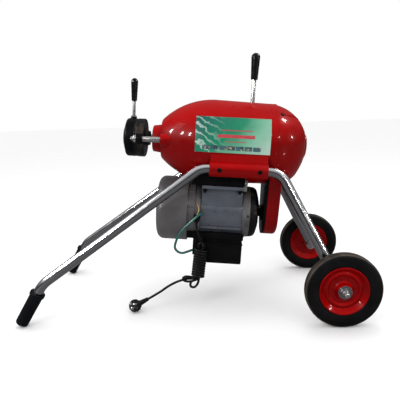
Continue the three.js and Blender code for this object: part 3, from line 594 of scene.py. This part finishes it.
# ---------------------------------------------------------------- barrel castings
def barrel_radius(x):
    """The barrel's skin: an arc over the shoulder, then a slow taper to the rear."""
    if x > CROWN_X:
        return BARREL_RADIUS - BARREL_TAPER * (x - CROWN_X)
    return BARREL_RADIUS - SHOULDER_ARC + math.sqrt(SHOULDER_ARC ** 2 - (x - CROWN_X) ** 2)


def dome_radius(x):
    return CAP_RADIUS * math.sqrt(max(0.0, 1 - ((x - CAP_CENTRE) / CAP_LENGTH) ** 2))


def spread(start, end, steps):
    return [start + (end - start) * k / steps for k in range(steps + 1)]


def build_casting(bm):
    outer = [(-183, 46), (-183, 57.1, 4)]
    outer += [(x, barrel_radius(x)) for x in spread(-178, CROWN_X, 26)]
    outer += [(30, 120.1), (90, 118.5), (126.2, 117.6, 0.4), (126.8, 117.2)]
    inner = [(126.8, 110.5), (40, 111.5)]
    inner += [(x, barrel_radius(x) - BARREL_WALL) for x in spread(CROWN_X, -168, 14)]
    spin(bm, outer + inner + [(-176, 46)], 128)


def build_bosses(bm):
    for sign in (-1, 1):
        moved(bm, shift((0, sign * ROD_Y, 0)), rod, -181, -140, 18, 2.5, 40)
        place = shift((0, sign * SOCKET_Y, SOCKET_Z))
        moved(bm, place, rod, -37, 124, 21.5, 1.6, 48, inner=14.4)


def build_socket_webs(bm):
    """The cast metal that runs each leg socket into the barrel's side."""
    for sign in (-1, 1):
        sections = []
        for x in spread(-35, 122, 10):
            sunk = barrel_radius(x) - 6
            skin = [(x, sign * sunk * math.cos(a), sunk * math.sin(a))
                    for a in map(math.radians, spread(-58, -8, 8))]
            socket = [(x, sign * (SOCKET_Y + 20.6 * math.cos(a)), SOCKET_Z + 20.6 * math.sin(a))
                      for a in map(math.radians, spread(72, 228, 10))]
            sections.append(skin + socket)
        loft(bm, sections)


def slot_cutter(bm):
    block(bm, (41.5, 85.5), (-7.5, 7.5), (96, 130), 5)


def build_slot_lip(bm):
    """A thin gaiter plate set in the lever's slot."""
    block(bm, (43, 84), (-6.9, 6.9), (111.5, 113), 0.4)


def belly_radius(x, radius, angle):
    """The cap's skin, lowered under the belt; local angle 0 is +Y, 90 degrees is +Z."""
    drop = BELLY_DROP * min(1, max(0, (x - 129) / 3)) * min(1, max(0, (240 - x) / 26))
    down = -math.sin(angle)
    if drop <= 0 or down <= 0:
        return radius
    side = math.cos(angle)
    lowered = drop * down + math.sqrt(max(0.0, radius ** 2 - (drop * side) ** 2))
    return max(radius, lowered)


def build_cap(bm):
    outer = [(127.0, 117.2), (127.6, 117.7, 0.3), (145.8, 117.7, 0.8), (146.6, 115.0)]
    outer += [(x, dome_radius(x)) for x in spread(150, 232, 26)]
    outer += [(233, 38.5), (236.5, 37.8, 1.5), (238.5, 34, 1.5), (240.5, 31, 1), (240.5, 16.5, 1)]
    spin(bm, outer, 128, closed=False, radius_at=belly_radius)
    inner = [(240.5, 16.5), (237, 16.5), (238, 21.5), (205, 21.5), (205, 60), (150, 105),
             (127.0, 110), (127.0, 117.2)]
    spin(bm, inner, 128, closed=False)
    bmesh.ops.remove_doubles(bm, verts=bm.verts, dist=0.02)


def build_collar(bm):
    spin(bm, [(-210, 22.5), (-210, 38.5, 3), (-183.5, 42, 0.5), (-183.5, 22.5)], 96)


def skin_point(x, z, lift):
    """A point on the near side of the barrel's skin, raised by lift."""
    return (x, -math.sqrt((barrel_radius(x) + lift) ** 2 - z ** 2), z)


def skin_patch(bm, x_span, z_span, lift, across=12, upwards=5):
    """A sheet that lies on the barrel's near side, raised by lift."""
    rows = []
    for z in spread(*z_span, upwards):
        rows.append([bm.verts.new(skin_point(x, z, lift)) for x in spread(*x_span, across)])
    for lower, upper in zip(rows, rows[1:]):
        for i in range(across):
            bm.faces.new([lower[i], lower[i + 1], upper[i + 1], upper[i]])


def build_label(bm):
    skin_patch(bm, (-80, 126), (-23, 73), 0.35, 48, 24)


def build_print_tiles(bm):
    """A row of plain picture-like tiles along the label's foot."""
    for k in range(7):
        skin_patch(bm, (-60 + 23.2 * k, -60 + 23.2 * k + 20.5), (-14.5 - 0.2 * k, -3 - 0.2 * k), 0.7, 4, 3)


def build_print_bars(bm):
    """Plain bars where a printed label has its lines."""
    skin_patch(bm, (-18, 82), (18, 27), 0.7)
    skin_patch(bm, (-10, 76), (37, 39.2), 0.7, 12, 1)
    skin_patch(bm, (4, 58), (7, 8.8), 0.7, 12, 1)


def label_material():
    """A printed film: green waves that fade to a pale, slightly rumpled sheet. No lettering."""
    material, tree, shader = new_material("label_film")
    where = node(tree, "ShaderNodeTexCoord").outputs["Object"]
    axes = node(tree, "ShaderNodeSeparateXYZ", {"Vector": where})
    across, up = axes.outputs["X"], axes.outputs["Z"]
    slant = node(tree, "ShaderNodeMath", {0: across, 1: up}, operation="SUBTRACT").outputs[0]
    rumple = noise(tree, where, 14, 5)
    waver = node(tree, "ShaderNodeMath", {0: rumple, 1: 0.09}, operation="MULTIPLY").outputs[0]
    fade = node(tree, "ShaderNodeMath", {0: slant, 1: waver}, operation="ADD").outputs[0]
    ramp = node(tree, "ShaderNodeValToRGB", {"Fac": remap(tree, fade, -0.47, -0.15)})
    stops = ramp.color_ramp.elements
    stops[0].position, stops[0].color = 0.0, (0.004, 0.085, 0.075, 1)
    stops[1].position, stops[1].color = 1.0, (0.47, 0.55, 0.51, 1)
    middle = stops.new(0.38)
    middle.color = (0.012, 0.20, 0.105, 1)
    middle = stops.new(0.62)
    middle.color = (0.16, 0.38, 0.26, 1)
    waves = node(tree, "ShaderNodeTexWave", {
        "Vector": where, "Scale": 20.0, "Distortion": 6.0, "Detail": 4.0, "Detail Scale": 2.2},
        wave_type="BANDS", bands_direction="DIAGONAL").outputs["Fac"]
    crest = remap(tree, waves, 0.7, 1.0, 0, 0.62)
    left = remap(tree, across, 0.10, 0.02)
    amount = node(tree, "ShaderNodeMath", {0: crest, 1: left}, operation="MULTIPLY").outputs[0]
    printed = mix_colour(tree, amount, ramp.outputs["Color"], (0.55, 0.68, 0.60, 1))
    bump = node(tree, "ShaderNodeBump", {"Height": rumple, "Strength": 0.25, "Distance": 0.001})
    connect(tree, shader, {
        "Base Color": printed, "Normal": bump.outputs["Normal"],
        "Roughness": 0.28, "Specular IOR Level": 0.2, "Coat Weight": 0.1})
    return material


CAP_SCREW_X = 158


def build_cap_screw(bm):
    """A socket screw that stands on the cap's upper near side."""
    normal = Vector((0.35, -0.55, 0.76)).normalized()
    profile = [(-4, 0), (-4, 6, 0.5), (1.8, 6, 1), (1.8, 3.2, 0.3), (-1, 2.9), (-1, 0)]
    moved(bm, along(normal, (CAP_SCREW_X, -69.5, 88)), spin, profile, 24, closed=False, steps=3)


def build_cap_lug(bm):
    """A cast lump low on the cap's near side, with its own flat."""
    base = shift((171, -74, -70)) @ along((0.25, -0.72, -0.65))
    dome = [(9 + 9 * math.sin(a), 17.5 * math.cos(a)) for a in spread(0, math.pi / 2 - 0.4, 6)]
    moved(bm, base, spin, [(-8, 0), (-8, 19), (4, 18.4)] + dome + [(17.6, 0)], 40, closed=False,
          radius_at=lambda x, r, a: r * (1 + 0.06 * math.cos(2 * a)))


def build_cap_edge(bm):
    """The raised parting edge that runs back and down from the screw."""
    points = []
    for k in range(15):
        x = CAP_SCREW_X + 3.6 * k
        angle = math.radians(128 - 0.9 * k * k / 14 - 0.4 * k)
        radius = dome_radius(x) + 0.3
        points.append((x, radius * math.cos(angle), radius * math.sin(angle)))
    sweep(bm, points, 1.5, 10)


def build_set_screws(bm):
    """Socket set screws that clamp the legs, sunk in the sockets' outer sides."""
    profile = [(17, 0), (17, 6.2), (22.8, 6.2, 0.8), (22.8, 3.6, 0.4), (21.9, 3.2), (21.9, 0)]
    for sign in (-1, 1):
        for x in (-9, 101):
            place = along((0, sign, 0), (x, sign * SOCKET_Y, SOCKET_Z - 1))
            moved(bm, place, spin, profile, 24, closed=False, steps=3)


casting = piece("barrel_casting", build_casting, "red_enamel", replaces=("main_casting",))
cut_away(casting, "slot_cutter", slot_cutter)
piece("barrel_sockets", build_bosses, "red_enamel")
piece("socket_webs", build_socket_webs, "red_enamel")
piece("lever_gaiter", build_slot_lip, "grip_rubber")
piece("cap_dome", build_cap, "red_enamel", replaces=("rear_cap",))
piece("nose_ring", build_collar, "red_enamel", replaces=("nose_collar",))
piece("cap_screw", build_cap_screw, "black_paint")
piece("cap_lug", build_cap_lug, "red_enamel")
piece("cap_edge", build_cap_edge, "red_enamel")
piece("set_screws", build_set_screws, "black_paint")
MATERIALS["label_film"] = label_material()
piece("label", build_label, "label_film")
piece("label_tiles", build_print_tiles, "print_dark")
piece("label_bars", build_print_bars, "print_red")


# ---------------------------------------------------------------- belt guard
def guard_outline(x, inset):
    """The guard's edge, from the barrel down to an arc round the motor pulley, drawn in by inset."""
    radius, half, drop = 64 - inset, 84 - inset, -60 - MOTOR_Z
    touch = math.atan2(drop, half) - math.acos(radius / math.hypot(half, drop))
    angles = spread(math.pi - touch, 2 * math.pi + touch, 40)
    arc = [(x, radius * math.cos(a), MOTOR_Z + radius * math.sin(a)) for a in angles]
    return [(x, half, -60), (x, -half, -60)] + arc


def build_guard_cover(bm):
    rim = [(135.4, 0.4), (135.8, 0)]
    rim += [(162 + 11 * math.sin(a), 11 * (1 - math.cos(a))) for a in spread(0, math.pi / 2, 9)]
    loft(bm, [guard_outline(x, inset) for x, inset in rim])


def build_guard_plate(bm):
    rim = [(128, 1.4), (128.3, 0.4), (129, 0), (134, 0), (134.8, 0.5)]
    loft(bm, [guard_outline(x, inset) for x, inset in rim])
    moved(bm, shift((0, 0, MOTOR_Z)), rod, 124.5, 128.5, 24, 1, 48, inner=15)
    for sign in (-1, 1):
        for y, z in ((68, -120), (44, -200)):
            moved(bm, shift((0, sign * y, z)), hex_bar, 124, 128.4, 11)


# The guard cover wears the darker red: painted shade.
piece("guard_cover", build_guard_cover, "shaded_guard_red", replaces=("belt_guard_cover",))
piece("guard_plate", build_guard_plate, "black_paint", replaces=("belt_guard_plate",))


# ---------------------------------------------------------------- motor
ON_MOTOR = HEAD @ shift((0, 0, MOTOR_Z))


def build_fan_cover(bm):
    shell = [(-183, 66), (-186, 66, 0.8), (-186, 96.5, 20), (-160, 97, 4), (-95, 97, 1), (-95, 94.2),
             (-168, 94.2, 6), (-183, 92, 14)]
    spin(bm, shell, 112, steps=6)
    for radius in (18, 29, 40, 51, 62):
        inner, outer = radius - 2.4, radius + 2.4
        spin(bm, [(-185.8, inner, 0.8), (-185.8, outer, 0.8), (-183, outer), (-183, inner)], 72, steps=2)
    around(bm, 8, block, (-184.6, -182.6), (-2.2, 2.2), (8, 68), 0.5)
    rod(bm, -186, -183, 11, 0.8, 32)
    around(bm, 4, rod, 96.4, 98.4, 3.6, 0.5, 20, phase=math.pi / 4, place=along(Z_AXIS, (-104, 0, 0)))


def build_front_bell(bm):
    spin(bm, [(-97.8, 60), (-97.8, 92.6, 1), (-93.5, 92.6, 1), (-93.5, 87.5, 1), (-74, 86, 2),
              (-72, 82.5, 1), (-57.4, 81, 0.6), (-57.4, 60)], 96)
    around(bm, 12, block, (-93, -74), (-1.6, 1.6), (84, 90), 0.8, phase=math.pi / 12)


STATOR_RIBS = ((34, 2.6, 2.4), (43, 1.6, 1.6), (28, 1.0, -1.2), (58, 2, 2), (68, 2, 2), (78, 2, 2))


def stator_radius(x, radius, angle):
    """A drawn housing with long ribs, mirrored about its two middle planes.

    Each rib has its place and half width in degrees, and its height.
    """
    folded = math.degrees(math.atan2(abs(math.sin(angle)), abs(math.cos(angle))))
    extra = 0.0
    for centre, width, height in STATOR_RIBS:
        extra += height * math.exp(-((folded - centre) / width) ** 4)
    return radius + (extra if radius > 60 else 0)


def build_stator(bm):
    spin(bm, [(-57, 50), (-57, 77.4, 1), (65, 77.4, 1), (65, 50)], 240, radius_at=stator_radius)
    for sign in (-1, 1):
        block(bm, (-55, 63), to_side(sign, 62, 92), (78.4, 88), 2)
        block(bm, (-55, 63), to_side(sign, 62, 74), (26, 82), 2)


def build_bell_flange(bm):
    spin(bm, [(65.4, 50), (65.4, 79.2, 1), (78, 79.2, 1), (80, 77.4, 1), (88, 77, 0.6),
              (88, 50)], 96)


def build_rear_bell(bm):
    spin(bm, [(88.3, 50), (88.3, 76.4, 0.6), (107, 75, 16), (114.5, 48, 10),
              (116.5, 26, 2), (116.5, 15, 0.5), (110, 14)], 96, steps=7)
    ridge = [(89, 0, 76), (94, 0, 75.5), (101, 0, 69.5), (108.5, 0, 58), (113, 0, 44), (115.5, 0, 30)]
    around(bm, 6, sweep, curve_through(ridge, 3), 2.6, 8, phase=math.pi / 6)
    around(bm, 4, hex_bar, 84, 90, 8, phase=math.pi / 4, place=shift((0, 0, 71)))


def build_shaft(bm):
    rod(bm, 40, 136, 12.2, 0.8, 40)
    rod(bm, -181, -150, 9, 0.8, 24)
    around(bm, 9, block, (-172, -150), (-1.2, 1.2), (12, 75), 0.5)
    rod(bm, -174, -171.6, 76, 0.6, 64)


def build_cradle(bm):
    for sign in (-1, 1):
        block(bm, (-84, 66), to_side(sign, 74, 90), (-119.5, -84), 2)
        for x in (-68, -20, 28, 54):
            moved(bm, shift((x, sign * 89, -102)) @ along((0, sign, 0)), hex_bar, 0, 5, 10)
    block(bm, (-84, 66), (-76, 76), (-119.5, -114), 1)


def build_cradle_bolts(bm):
    for sign in (-1, 1):
        for x in (-46, 54):
            place = shift((x, sign * 83, -119.7)) @ along(-Z_AXIS)
            moved(bm, place, hex_bar, 10.4, 17, 13)
            moved(bm, place, rod, 10, 22, 4, 0.6, 20)


def build_ear(bm):
    """A lifting ear on the rear end of the motor's foot."""
    for sign in (-1, 1):
        block(bm, (61, 76), to_side(sign, 57, 63), (-137, -112), 2.5)
        moved(bm, shift((68.5, sign * 60, -110)) @ along(Y_AXIS), rod, -3.2, 3.2, 8.5, 1, 32,
              inner=4)


piece("fan_shroud", build_fan_cover, "grey_paint", ON_MOTOR, replaces=("fan_cover",))
piece("front_bell", build_front_bell, "grey_paint", ON_MOTOR, replaces=("motor_front_bell",))
piece("stator_shell", build_stator, "stator_paint", ON_MOTOR, replaces=("stator_housing",))
piece("bell_flange", build_bell_flange, "bell_cast", ON_MOTOR)
piece("rear_bell", build_rear_bell, "dark_cast", ON_MOTOR, replaces=("motor_rear_bell",))
piece("rotor_shaft", build_shaft, "black_paint", ON_MOTOR, body="rotor", replaces=("motor_rotor",))
piece("cradle", build_cradle, "black_paint", replaces=("motor_cradle",))
piece("cradle_bolts", build_cradle_bolts, "black_paint")
piece("motor_ears", build_ear, "zinc")


# ---------------------------------------------------------------- switch box, wires and gland
def build_box_seat(bm):
    block(bm, (-93, 73), (-78, 78), (-281, -272), 2)
    for sign in (-1, 1):
        block(bm, (-93, 73), to_side(sign, 66, 78), (-276, -262), 2)
    block(bm, (-44, 70), (-74, 74), (-292.2, -280), 1)


def build_switch_box(bm):
    block(bm, (-45, 71), (-75, 75), (-355, -297.2), 4, 4)
    block(bm, (-46.2, 72.2), (-76.2, 76.2), (-297.6, -292.4), 1.5)
    for sign in (-1, 1):
        for x in (-38, 64):
            moved(bm, shift((x, 0, -303)) @ along((0, sign, 0)), rod, 75.2, 76.8, 3, 0.5, 20)


def build_switch_knob(bm):
    rod(bm, 0.4, 6, 17, 1.4, 48)
    block(bm, (5, 22), (-16, 16), (-4, 4), 2)
    around(bm, 20, block, (1.5, 5), (-0.8, 0.8), (16.4, 17.6), 0.3)


def build_gland(bm):
    rod(bm, 0, 8, 9.5, 0.8, 32)
    nose = [(8, 4), (8, 8.4, 0.6), (19, 7, 0.6), (22, 4.6, 0.4), (22, 0)]
    spin(bm, nose, 32, closed=False, steps=3)
    hex_bar(bm, 3, 9, 19)


def build_clip(bm):
    """A saddle that holds the lead to the seat, with its screw."""
    block(bm, (-71, -59), (-94, -78), (-222, -212), 1.2)
    block(bm, (-74, -45), (-82, -77.6), (-330, -264), 2)
    moved(bm, shift((-50, 0, -300)) @ along(-Y_AXIS), hex_bar, 82, 86, 9)


def build_wire(points, radius):
    return lambda bm: sweep(bm, curve_through(points, 6), radius, 14)


EARTH_ROUTE = [(-50, -80.5, -203), (-52, -92, -201), (-61, -104, -205), (-74, -107, -218),
               (-85, -107, -229), (-98, -106, -243), (-114, -104, -267), (-123, -102, -292),
               (-124, -100, -307), (-116, -98, -318), (-103, -94, -323), (-86, -84, -320),
               (-68, -77, -314), (-57, -71, -310), (-46, -69, -309)]
LEAD_ROUTE = [(-68, -74, -174), (-66, -81, -178), (-61, -88, -188), (-62, -92.5, -198), (-65, -94, -206)]
piece("box_saddle", build_box_seat, "black_paint", replaces=("box_seat",))
piece("switch_case", build_switch_box, "black_plastic", replaces=("switch_box",))
piece("switch_dial", build_switch_knob, "black_plastic",
      HEAD @ shift((13, 75, -325)) @ along(Y_AXIS), body="switch", replaces=("switch_knob",))
piece("lead_gland", build_gland, "black_plastic", HEAD @ along(-Z_AXIS, (-65, -94, -206)),
      replaces=("cord_gland",))
piece("gland_clip", build_clip, "black_plastic")
piece("earth_lead", build_wire(EARTH_ROUTE, 3.5), "wire_green", replaces=("earth_wire",))
piece("yellow_lead", build_wire(LEAD_ROUTE, 1.2), "wire_yellow", replaces=("motor_lead",))


# ---------------------------------------------------------------- levers
def build_lever_knob(length, foot, top, flutes):
    """A grip that widens upwards, with shallow flutes and a domed end. It stands along local X."""
    def shape(x, radius, angle):
        inside = min(1, max(0, (x - 6) / 6)) * min(1, max(0, (length - 8 - x) / 6))
        return radius - inside * 0.35 * max(0, math.cos(flutes * angle)) ** 2

    def build(bm):
        profile = [(0, 0), (0, foot - 1, 1), (3, foot, 1), (length - 12, top, 2)]
        profile += [(length - 12 + 12 * math.sin(a), top * math.cos(a))
                    for a in spread(0.15, math.pi / 2 - 0.05, 7)]
        spin(bm, profile + [(length, 0)], 96, closed=False, radius_at=shape)
    return build


def build_clutch_rod(bm):
    rod(bm, 0, 133, 5.75, 0.6, 32)
    moved(bm, along(Y_AXIS), rod, -8.4, 8.4, 10, 1, 32)
    rod(bm, -25.5, 0, 3.7, 0.6, 20)


def build_feed_rod(bm):
    rod(bm, 55.3, 118, 4.4, 0.5, 28)
    hex_bar(bm, 58, 65, 14)


CLUTCH_X, CLUTCH_PIVOT_Z, FEED_LEVER_X = 77.5, 60, -271
piece("clutch_rod", build_clutch_rod, "zinc", HEAD @ along(Z_AXIS, (CLUTCH_X, 0, CLUTCH_PIVOT_Z)),
      body="clutch_lever", replaces=("clutch_lever_rod",))
piece("clutch_knob", build_lever_knob(75, 10, 12.6, 6), "knob_plastic",
      HEAD @ along(Z_AXIS, (CLUTCH_X, 0, CLUTCH_PIVOT_Z + 123)),
      body="clutch_lever", replaces=("clutch_lever_knob",))
piece("feed_rod", build_feed_rod, "steel", HEAD @ along(Z_AXIS, (FEED_LEVER_X, 0, 0)), body="feed_lever",
      replaces=("feed_lever_rod",))
piece("feed_knob", build_lever_knob(66, 8, 10.3, 6), "knob_plastic",
      HEAD @ along(Z_AXIS, (FEED_LEVER_X, 0, 106)),
      body="feed_lever", replaces=("feed_lever_knob",))


# ---------------------------------------------------------------- feed head
def build_feed_ring(bm):
    cup = [(-296, 14, 0.8), (-296, 29, 1.5), (-288, 53.6, 1.2), (-286, 55, 0.6), (-283, 56.2, 0.6),
           (-262.4, 56.2, 0.8), (-262.4, 50), (-285, 50), (-291.5, 36), (-292, 14)]
    spin(bm, cup, 96)
    moved(bm, shift((-271, 0, 0)) @ along(Z_AXIS), rod, 50, 61, 9, 1, 32)


def build_carrier(bm):
    body = [(-262, 13), (-262, 55.6, 0.8), (-258, 55.6, 0.8), (-256.5, 54.6, 0.3), (-254.5, 56.2, 0.5),
            (-236, 56.6, 1.5), (-233, 54, 1), (-233, 30, 2), (-231, 23, 1), (-220, 20.6, 0.6), (-220, 13)]
    spin(bm, body, 96)
    spin(bm, [(-284, 45.5), (-284, 49, 0.6), (-262, 49), (-262, 45.5)], 72)


def build_carrier_lugs(bm):
    for sign in (-1, 1):
        moved(bm, shift((0, sign * ROD_Y, 0)), rod, -250, -234, 15, 1.2, 40)
        block(bm, (-250, -234), to_side(sign, 44, ROD_Y), (-14, 14), 1.5)


def build_rust_patch(bm):
    """A bare, rusted area on the near side of the carrier's rear half."""
    rows = []
    for i in range(9):
        x = -250 + 2.05 * i
        reach = math.sin(math.pi * (i + 1) / 11)
        rows.append([bm.verts.new((x, -57.0 * math.cos(a), 57.0 * math.sin(a)))
                     for a in spread(-0.25 - 0.35 * reach, 0.35 + 0.55 * reach, 16)])
    for first, second in zip(rows, rows[1:]):
        for k in range(16):
            bm.faces.new([first[k], first[k + 1], second[k + 1], second[k]])


def build_guide_rod(bm):
    rod(bm, -234.2, -178, 8, 0.8, 40)
    rod(bm, -266, -233, 6, 0.8, 32)
    for k in range(5):
        x = -265.5 + 1.5 * k
        spin(bm, [(x, 5.7), (x + 0.6, 6.35), (x + 1.2, 5.7)], 32, closed=True)


def build_rod_nut(bm):
    hex_bar(bm, -258.6, -251.6, 19, 0.8)
    rod(bm, -251.9, -250.1, 12, 0.4, 40)


piece("feed_cup", build_feed_ring, "black_paint", body="feed_lever", replaces=("feed_ring",))
piece("feed_body", build_carrier, "dark_cast", replaces=("feed_carrier",))
piece("feed_lugs", build_carrier_lugs, "black_paint")
piece("feed_rust", build_rust_patch, "rusty_cast")
for side, sign in SIDES:
    offset = HEAD @ shift((0, sign * ROD_Y, 0))
    piece(f"tie_rod_{side}", build_guide_rod, "zinc", offset, replaces=(f"guide_rod_{side}",))
    piece(f"tie_nut_{side}", build_rod_nut, "zinc", offset, replaces=(f"rod_nut_{side}",))


# ---------------------------------------------------------------- legs and grips
def rounded_path(corners, radii, steps=14):
    points = [corners[0]]
    for i, radius in enumerate(radii):
        corner = corners[i + 1]
        before = (corners[i] - corner).normalized()
        after = (corners[i + 2] - corner).normalized()
        reach = radius / math.tan(before.angle(after) / 2)
        enter, leave = corner + before * reach, corner + after * reach
        for k in range(steps + 1):
            t = k / steps
            points.append(enter * (1 - t) ** 2 + corner * (2 * t * (1 - t)) + leave * t ** 2)
    return points + [corners[-1]]


def front_leg(sign):
    return [head_point(18, sign * SOCKET_Y, SOCKET_Z), head_point(-60.2, sign * SOCKET_Y, SOCKET_Z),
            from_axle(-806, sign * 203, 119), from_axle(-869.5, sign * 208, 16.35)]


def rear_leg(sign):
    corner = head_point(158.8, sign * SOCKET_Y, SOCKET_Z)
    axle = from_axle(0, sign * 190, WHEEL_RADIUS)
    return [head_point(69, sign * SOCKET_Y, SOCKET_Z), corner, axle - (axle - corner).normalized() * 19]


def build_tube(corners, radii):
    return lambda bm: sweep(bm, rounded_path(corners, radii), TUBE_RADIUS, 40)


def grip_radius(x, radius, angle):
    """The grip's long flutes, between its end and its flange."""
    fluted = 12 < x < 93 and radius > 16
    return radius - 0.5 * max(0, math.cos(14 * angle)) ** 3 if fluted else radius


def build_grip(bm):
    profile = [(0, 0), (0, 7, 0.5), (6, 16.6, 1), (10, 17.5, 2), (94, 18.2, 1), (97, 18.4, 1), (99.5, 21, 1),
               (108, 21, 1.6), (108, 14.2, 0.8), (60, 14)]
    spin(bm, profile, 56, closed=False, radius_at=grip_radius)


def build_tip(bm):
    """The tube's end, bare where the grip has worn through."""
    profile = [(0.4, 0), (0.4, 6.5, 0.4), (6.0, 16.9, 0.6), (6.6, 15), (6, 0)]
    spin(bm, profile, 40, closed=False, steps=3)


for side, sign in SIDES:
    corners = front_leg(sign)
    piece(f"front_tube_{side}", build_tube(corners, (58, 80)), "chrome", MACHINE,
          replaces=(f"front_leg_{side}",))
    piece(f"rear_tube_{side}", build_tube(rear_leg(sign), (60,)), "chrome", MACHINE,
          replaces=(f"rear_leg_{side}",))
    up = (corners[2] - corners[3]).normalized()
    place = along(up, corners[3] - up * 14.5)
    piece(f"handle_{side}", build_grip, "grip_rubber", place, replaces=(f"grip_{side}",))
    piece(f"handle_tip_{side}", build_tip, "chrome", place)


# ---------------------------------------------------------------- wheels
def build_tyre_sides(bm):
    wall = [(-11, 65), (-13.5, 67.5, 1), (-15.4, 74, 2), (-16.6, 84, 4), (-15.6, 92.5, 3),
            (-14.3, 95.4, 1), (-13.2, 96.4)]
    mirrored = [(-x, *rest) for x, *rest in reversed(wall)]
    spin(bm, wall + [(-10, 94), (10, 94)] + mirrored, 128)


def build_tread(bm):
    outline = [(-13.4, 95.4), (-13.6, 97.2, 1), (-9.6, 99.7, 0.8), (-8.6, 99.8), (-8.2, 97.6),
               (-6.8, 97.6), (-6.4, 100), (-3.6, 100), (-3.2, 97.8), (-1.8, 97.8), (-1.4, 100)]
    mirrored = [(-x, *rest) for x, *rest in reversed(outline)]
    spin(bm, outline + mirrored, 144)


def build_rim(bm):
    """The wheel's disc. Local X points outwards from the machine."""
    outer = [(9, 64.9), (12.6, 65.2, 0.8), (14.4, 64, 1), (14, 61.6, 1), (5, 53.5, 3), (1.6, 50.5, 2),
             (4.4, 46.5, 2), (5.2, 42, 2), (1.2, 37.5, 2), (1.2, 25, 2), (5, 21, 2), (15, 19.6, 1.5),
             (17, 18.2, 1), (17, 9)]
    inner = [(-17, 9), (-17, 19, 1.5), (-7, 21, 2), (-4.6, 26, 2), (-4.6, 48, 3), (-13.5, 61.5, 1),
             (-14.4, 64, 1), (-12.6, 65.2, 0.8), (-9, 64.9)]
    spin(bm, outer + inner, 112)
    bolt_circle = shift((0, 0, 31))
    around(bm, 6, rod, 1.0, 4.2, 3.4, 0.6, 20, phase=math.pi / 6, place=bolt_circle)


def build_axle(bm):
    rod(bm, 172, 207, 15, 1.2, 40)
    journal = [(200, 0), (200, 8), (251, 8, 0.8), (252, 6, 0.4), (265, 6, 1.6), (266, 2.5, 0.3),
               (264.6, 2), (264.6, 0)]
    spin(bm, journal, 36, closed=False, steps=3)


def build_axle_washer(bm):
    spin(bm, [(244.6, 8), (244.6, 18, 0.5), (246.0, 18, 0.5), (246.0, 16), (245.4, 15.4),
              (245.4, 13.4), (247.0, 12.8, 0.4), (248.6, 12, 0.4), (248.6, 8)], 48)
    moved(bm, shift((256, 0, 0)) @ along(Z_AXIS), rod, -11, 11, 1.5, 0.4, 12)


for side, sign in SIDES:
    outwards = along((0, sign, 0), (AXLE_X, sign * WHEEL_Y, WHEEL_RADIUS))
    wheel = f"wheel_{side}"
    piece(f"tyre_wall_{side}", build_tyre_sides, "tyre_rubber", outwards, body=wheel,
          replaces=(f"tyre_{side}",))
    piece(f"tyre_tread_{side}", build_tread, "tread_rubber", outwards, body=wheel)
    piece(f"wheel_disc_{side}", build_rim, "red_enamel", outwards, body=wheel, replaces=(f"rim_{side}",))
    hub = along((0, sign, 0), (AXLE_X, 0, WHEEL_RADIUS))
    piece(f"axle_{side}", build_axle, "zinc", hub, replaces=(f"wheel_axle_{side}",))
    piece(f"axle_nut_{side}", build_axle_washer, "steel", hub)


# ---------------------------------------------------------------- CAD nodes that stay
for name, obj in frame["nodes"].items():
    slot = next(part["material_slot"] for part in frame["record"]["subparts"] if part["node"] == name)
    obj.data.materials.clear()
    obj.data.materials.append(MATERIALS[slot])


# ---------------------------------------------------------------- floor, light and finish
def add_floor():
    mesh = bpy.data.meshes.new("floor")
    half, height = 30, -0.0005
    corners = [(x * half, y * half, height) for x, y in ((-1, -1), (1, -1), (1, 1), (-1, 1))]
    mesh.from_pydata(corners, [], [(0, 1, 2, 3)])
    floor = linked("floor", mesh)
    material, tree, shader = new_material("floor_white")
    where = node(tree, "ShaderNodeTexCoord").outputs["Object"]
    tone = remap(tree, noise(tree, where, 3), 0.2, 0.8, 0.95, 0.98)
    # Painted reflection: glossy rays see the floor dark grey, so glossy parts show a darker floor than the
    # eye sees.
    ray = node(tree, "ShaderNodeLightPath").outputs["Is Glossy Ray"]
    connect(tree, shader, {
        "Base Color": mix_colour(tree, ray, tone, (0.27, 0.27, 0.28, 1)),
        "Roughness": 0.9, "Specular IOR Level": 0.1})
    mesh.materials.append(material)


add_floor()
bpy.context.scene.view_settings.view_transform = "Standard"
add_light("key", (-1.3, -2.2, 2.4), 1.2, 18)
add_light("fill", (2.2, -2.4, 1.4), 1.6, 6)
add_light("top", (0.2, 0.4, 2.8), 1.6, 18)
add_light("leg_softbox", (-1.45, -0.5, 1.75), 0.55, 4, gleam=True)
add_light("nose_tube_1", (-1.84, -0.38, 1.37), 0.17, 34, height=0.32, gleam=True)
add_light("nose_tube_2", (-1.53, -1.16, 1.29), 0.14, 26, height=0.28, gleam=True)
add_light("nose_tube_3", (-1.18, -1.55, 1.24), 0.14, 26, height=0.28, gleam=True)
add_light("cap_lamp_high", (1.5, 0.0, 2.05), 0.30, 40, gleam=True)
add_light("cap_lamp_near", (1.2, -1.72, 1.2), 0.12, 12, gleam=True)
add_light("cap_lamp_side", (2.1, -0.55, 0.95), 0.14, 12, gleam=True)
add_light("cap_lamp_low", (1.71, -1.33, 0.05), 0.16, 4, gleam=True)
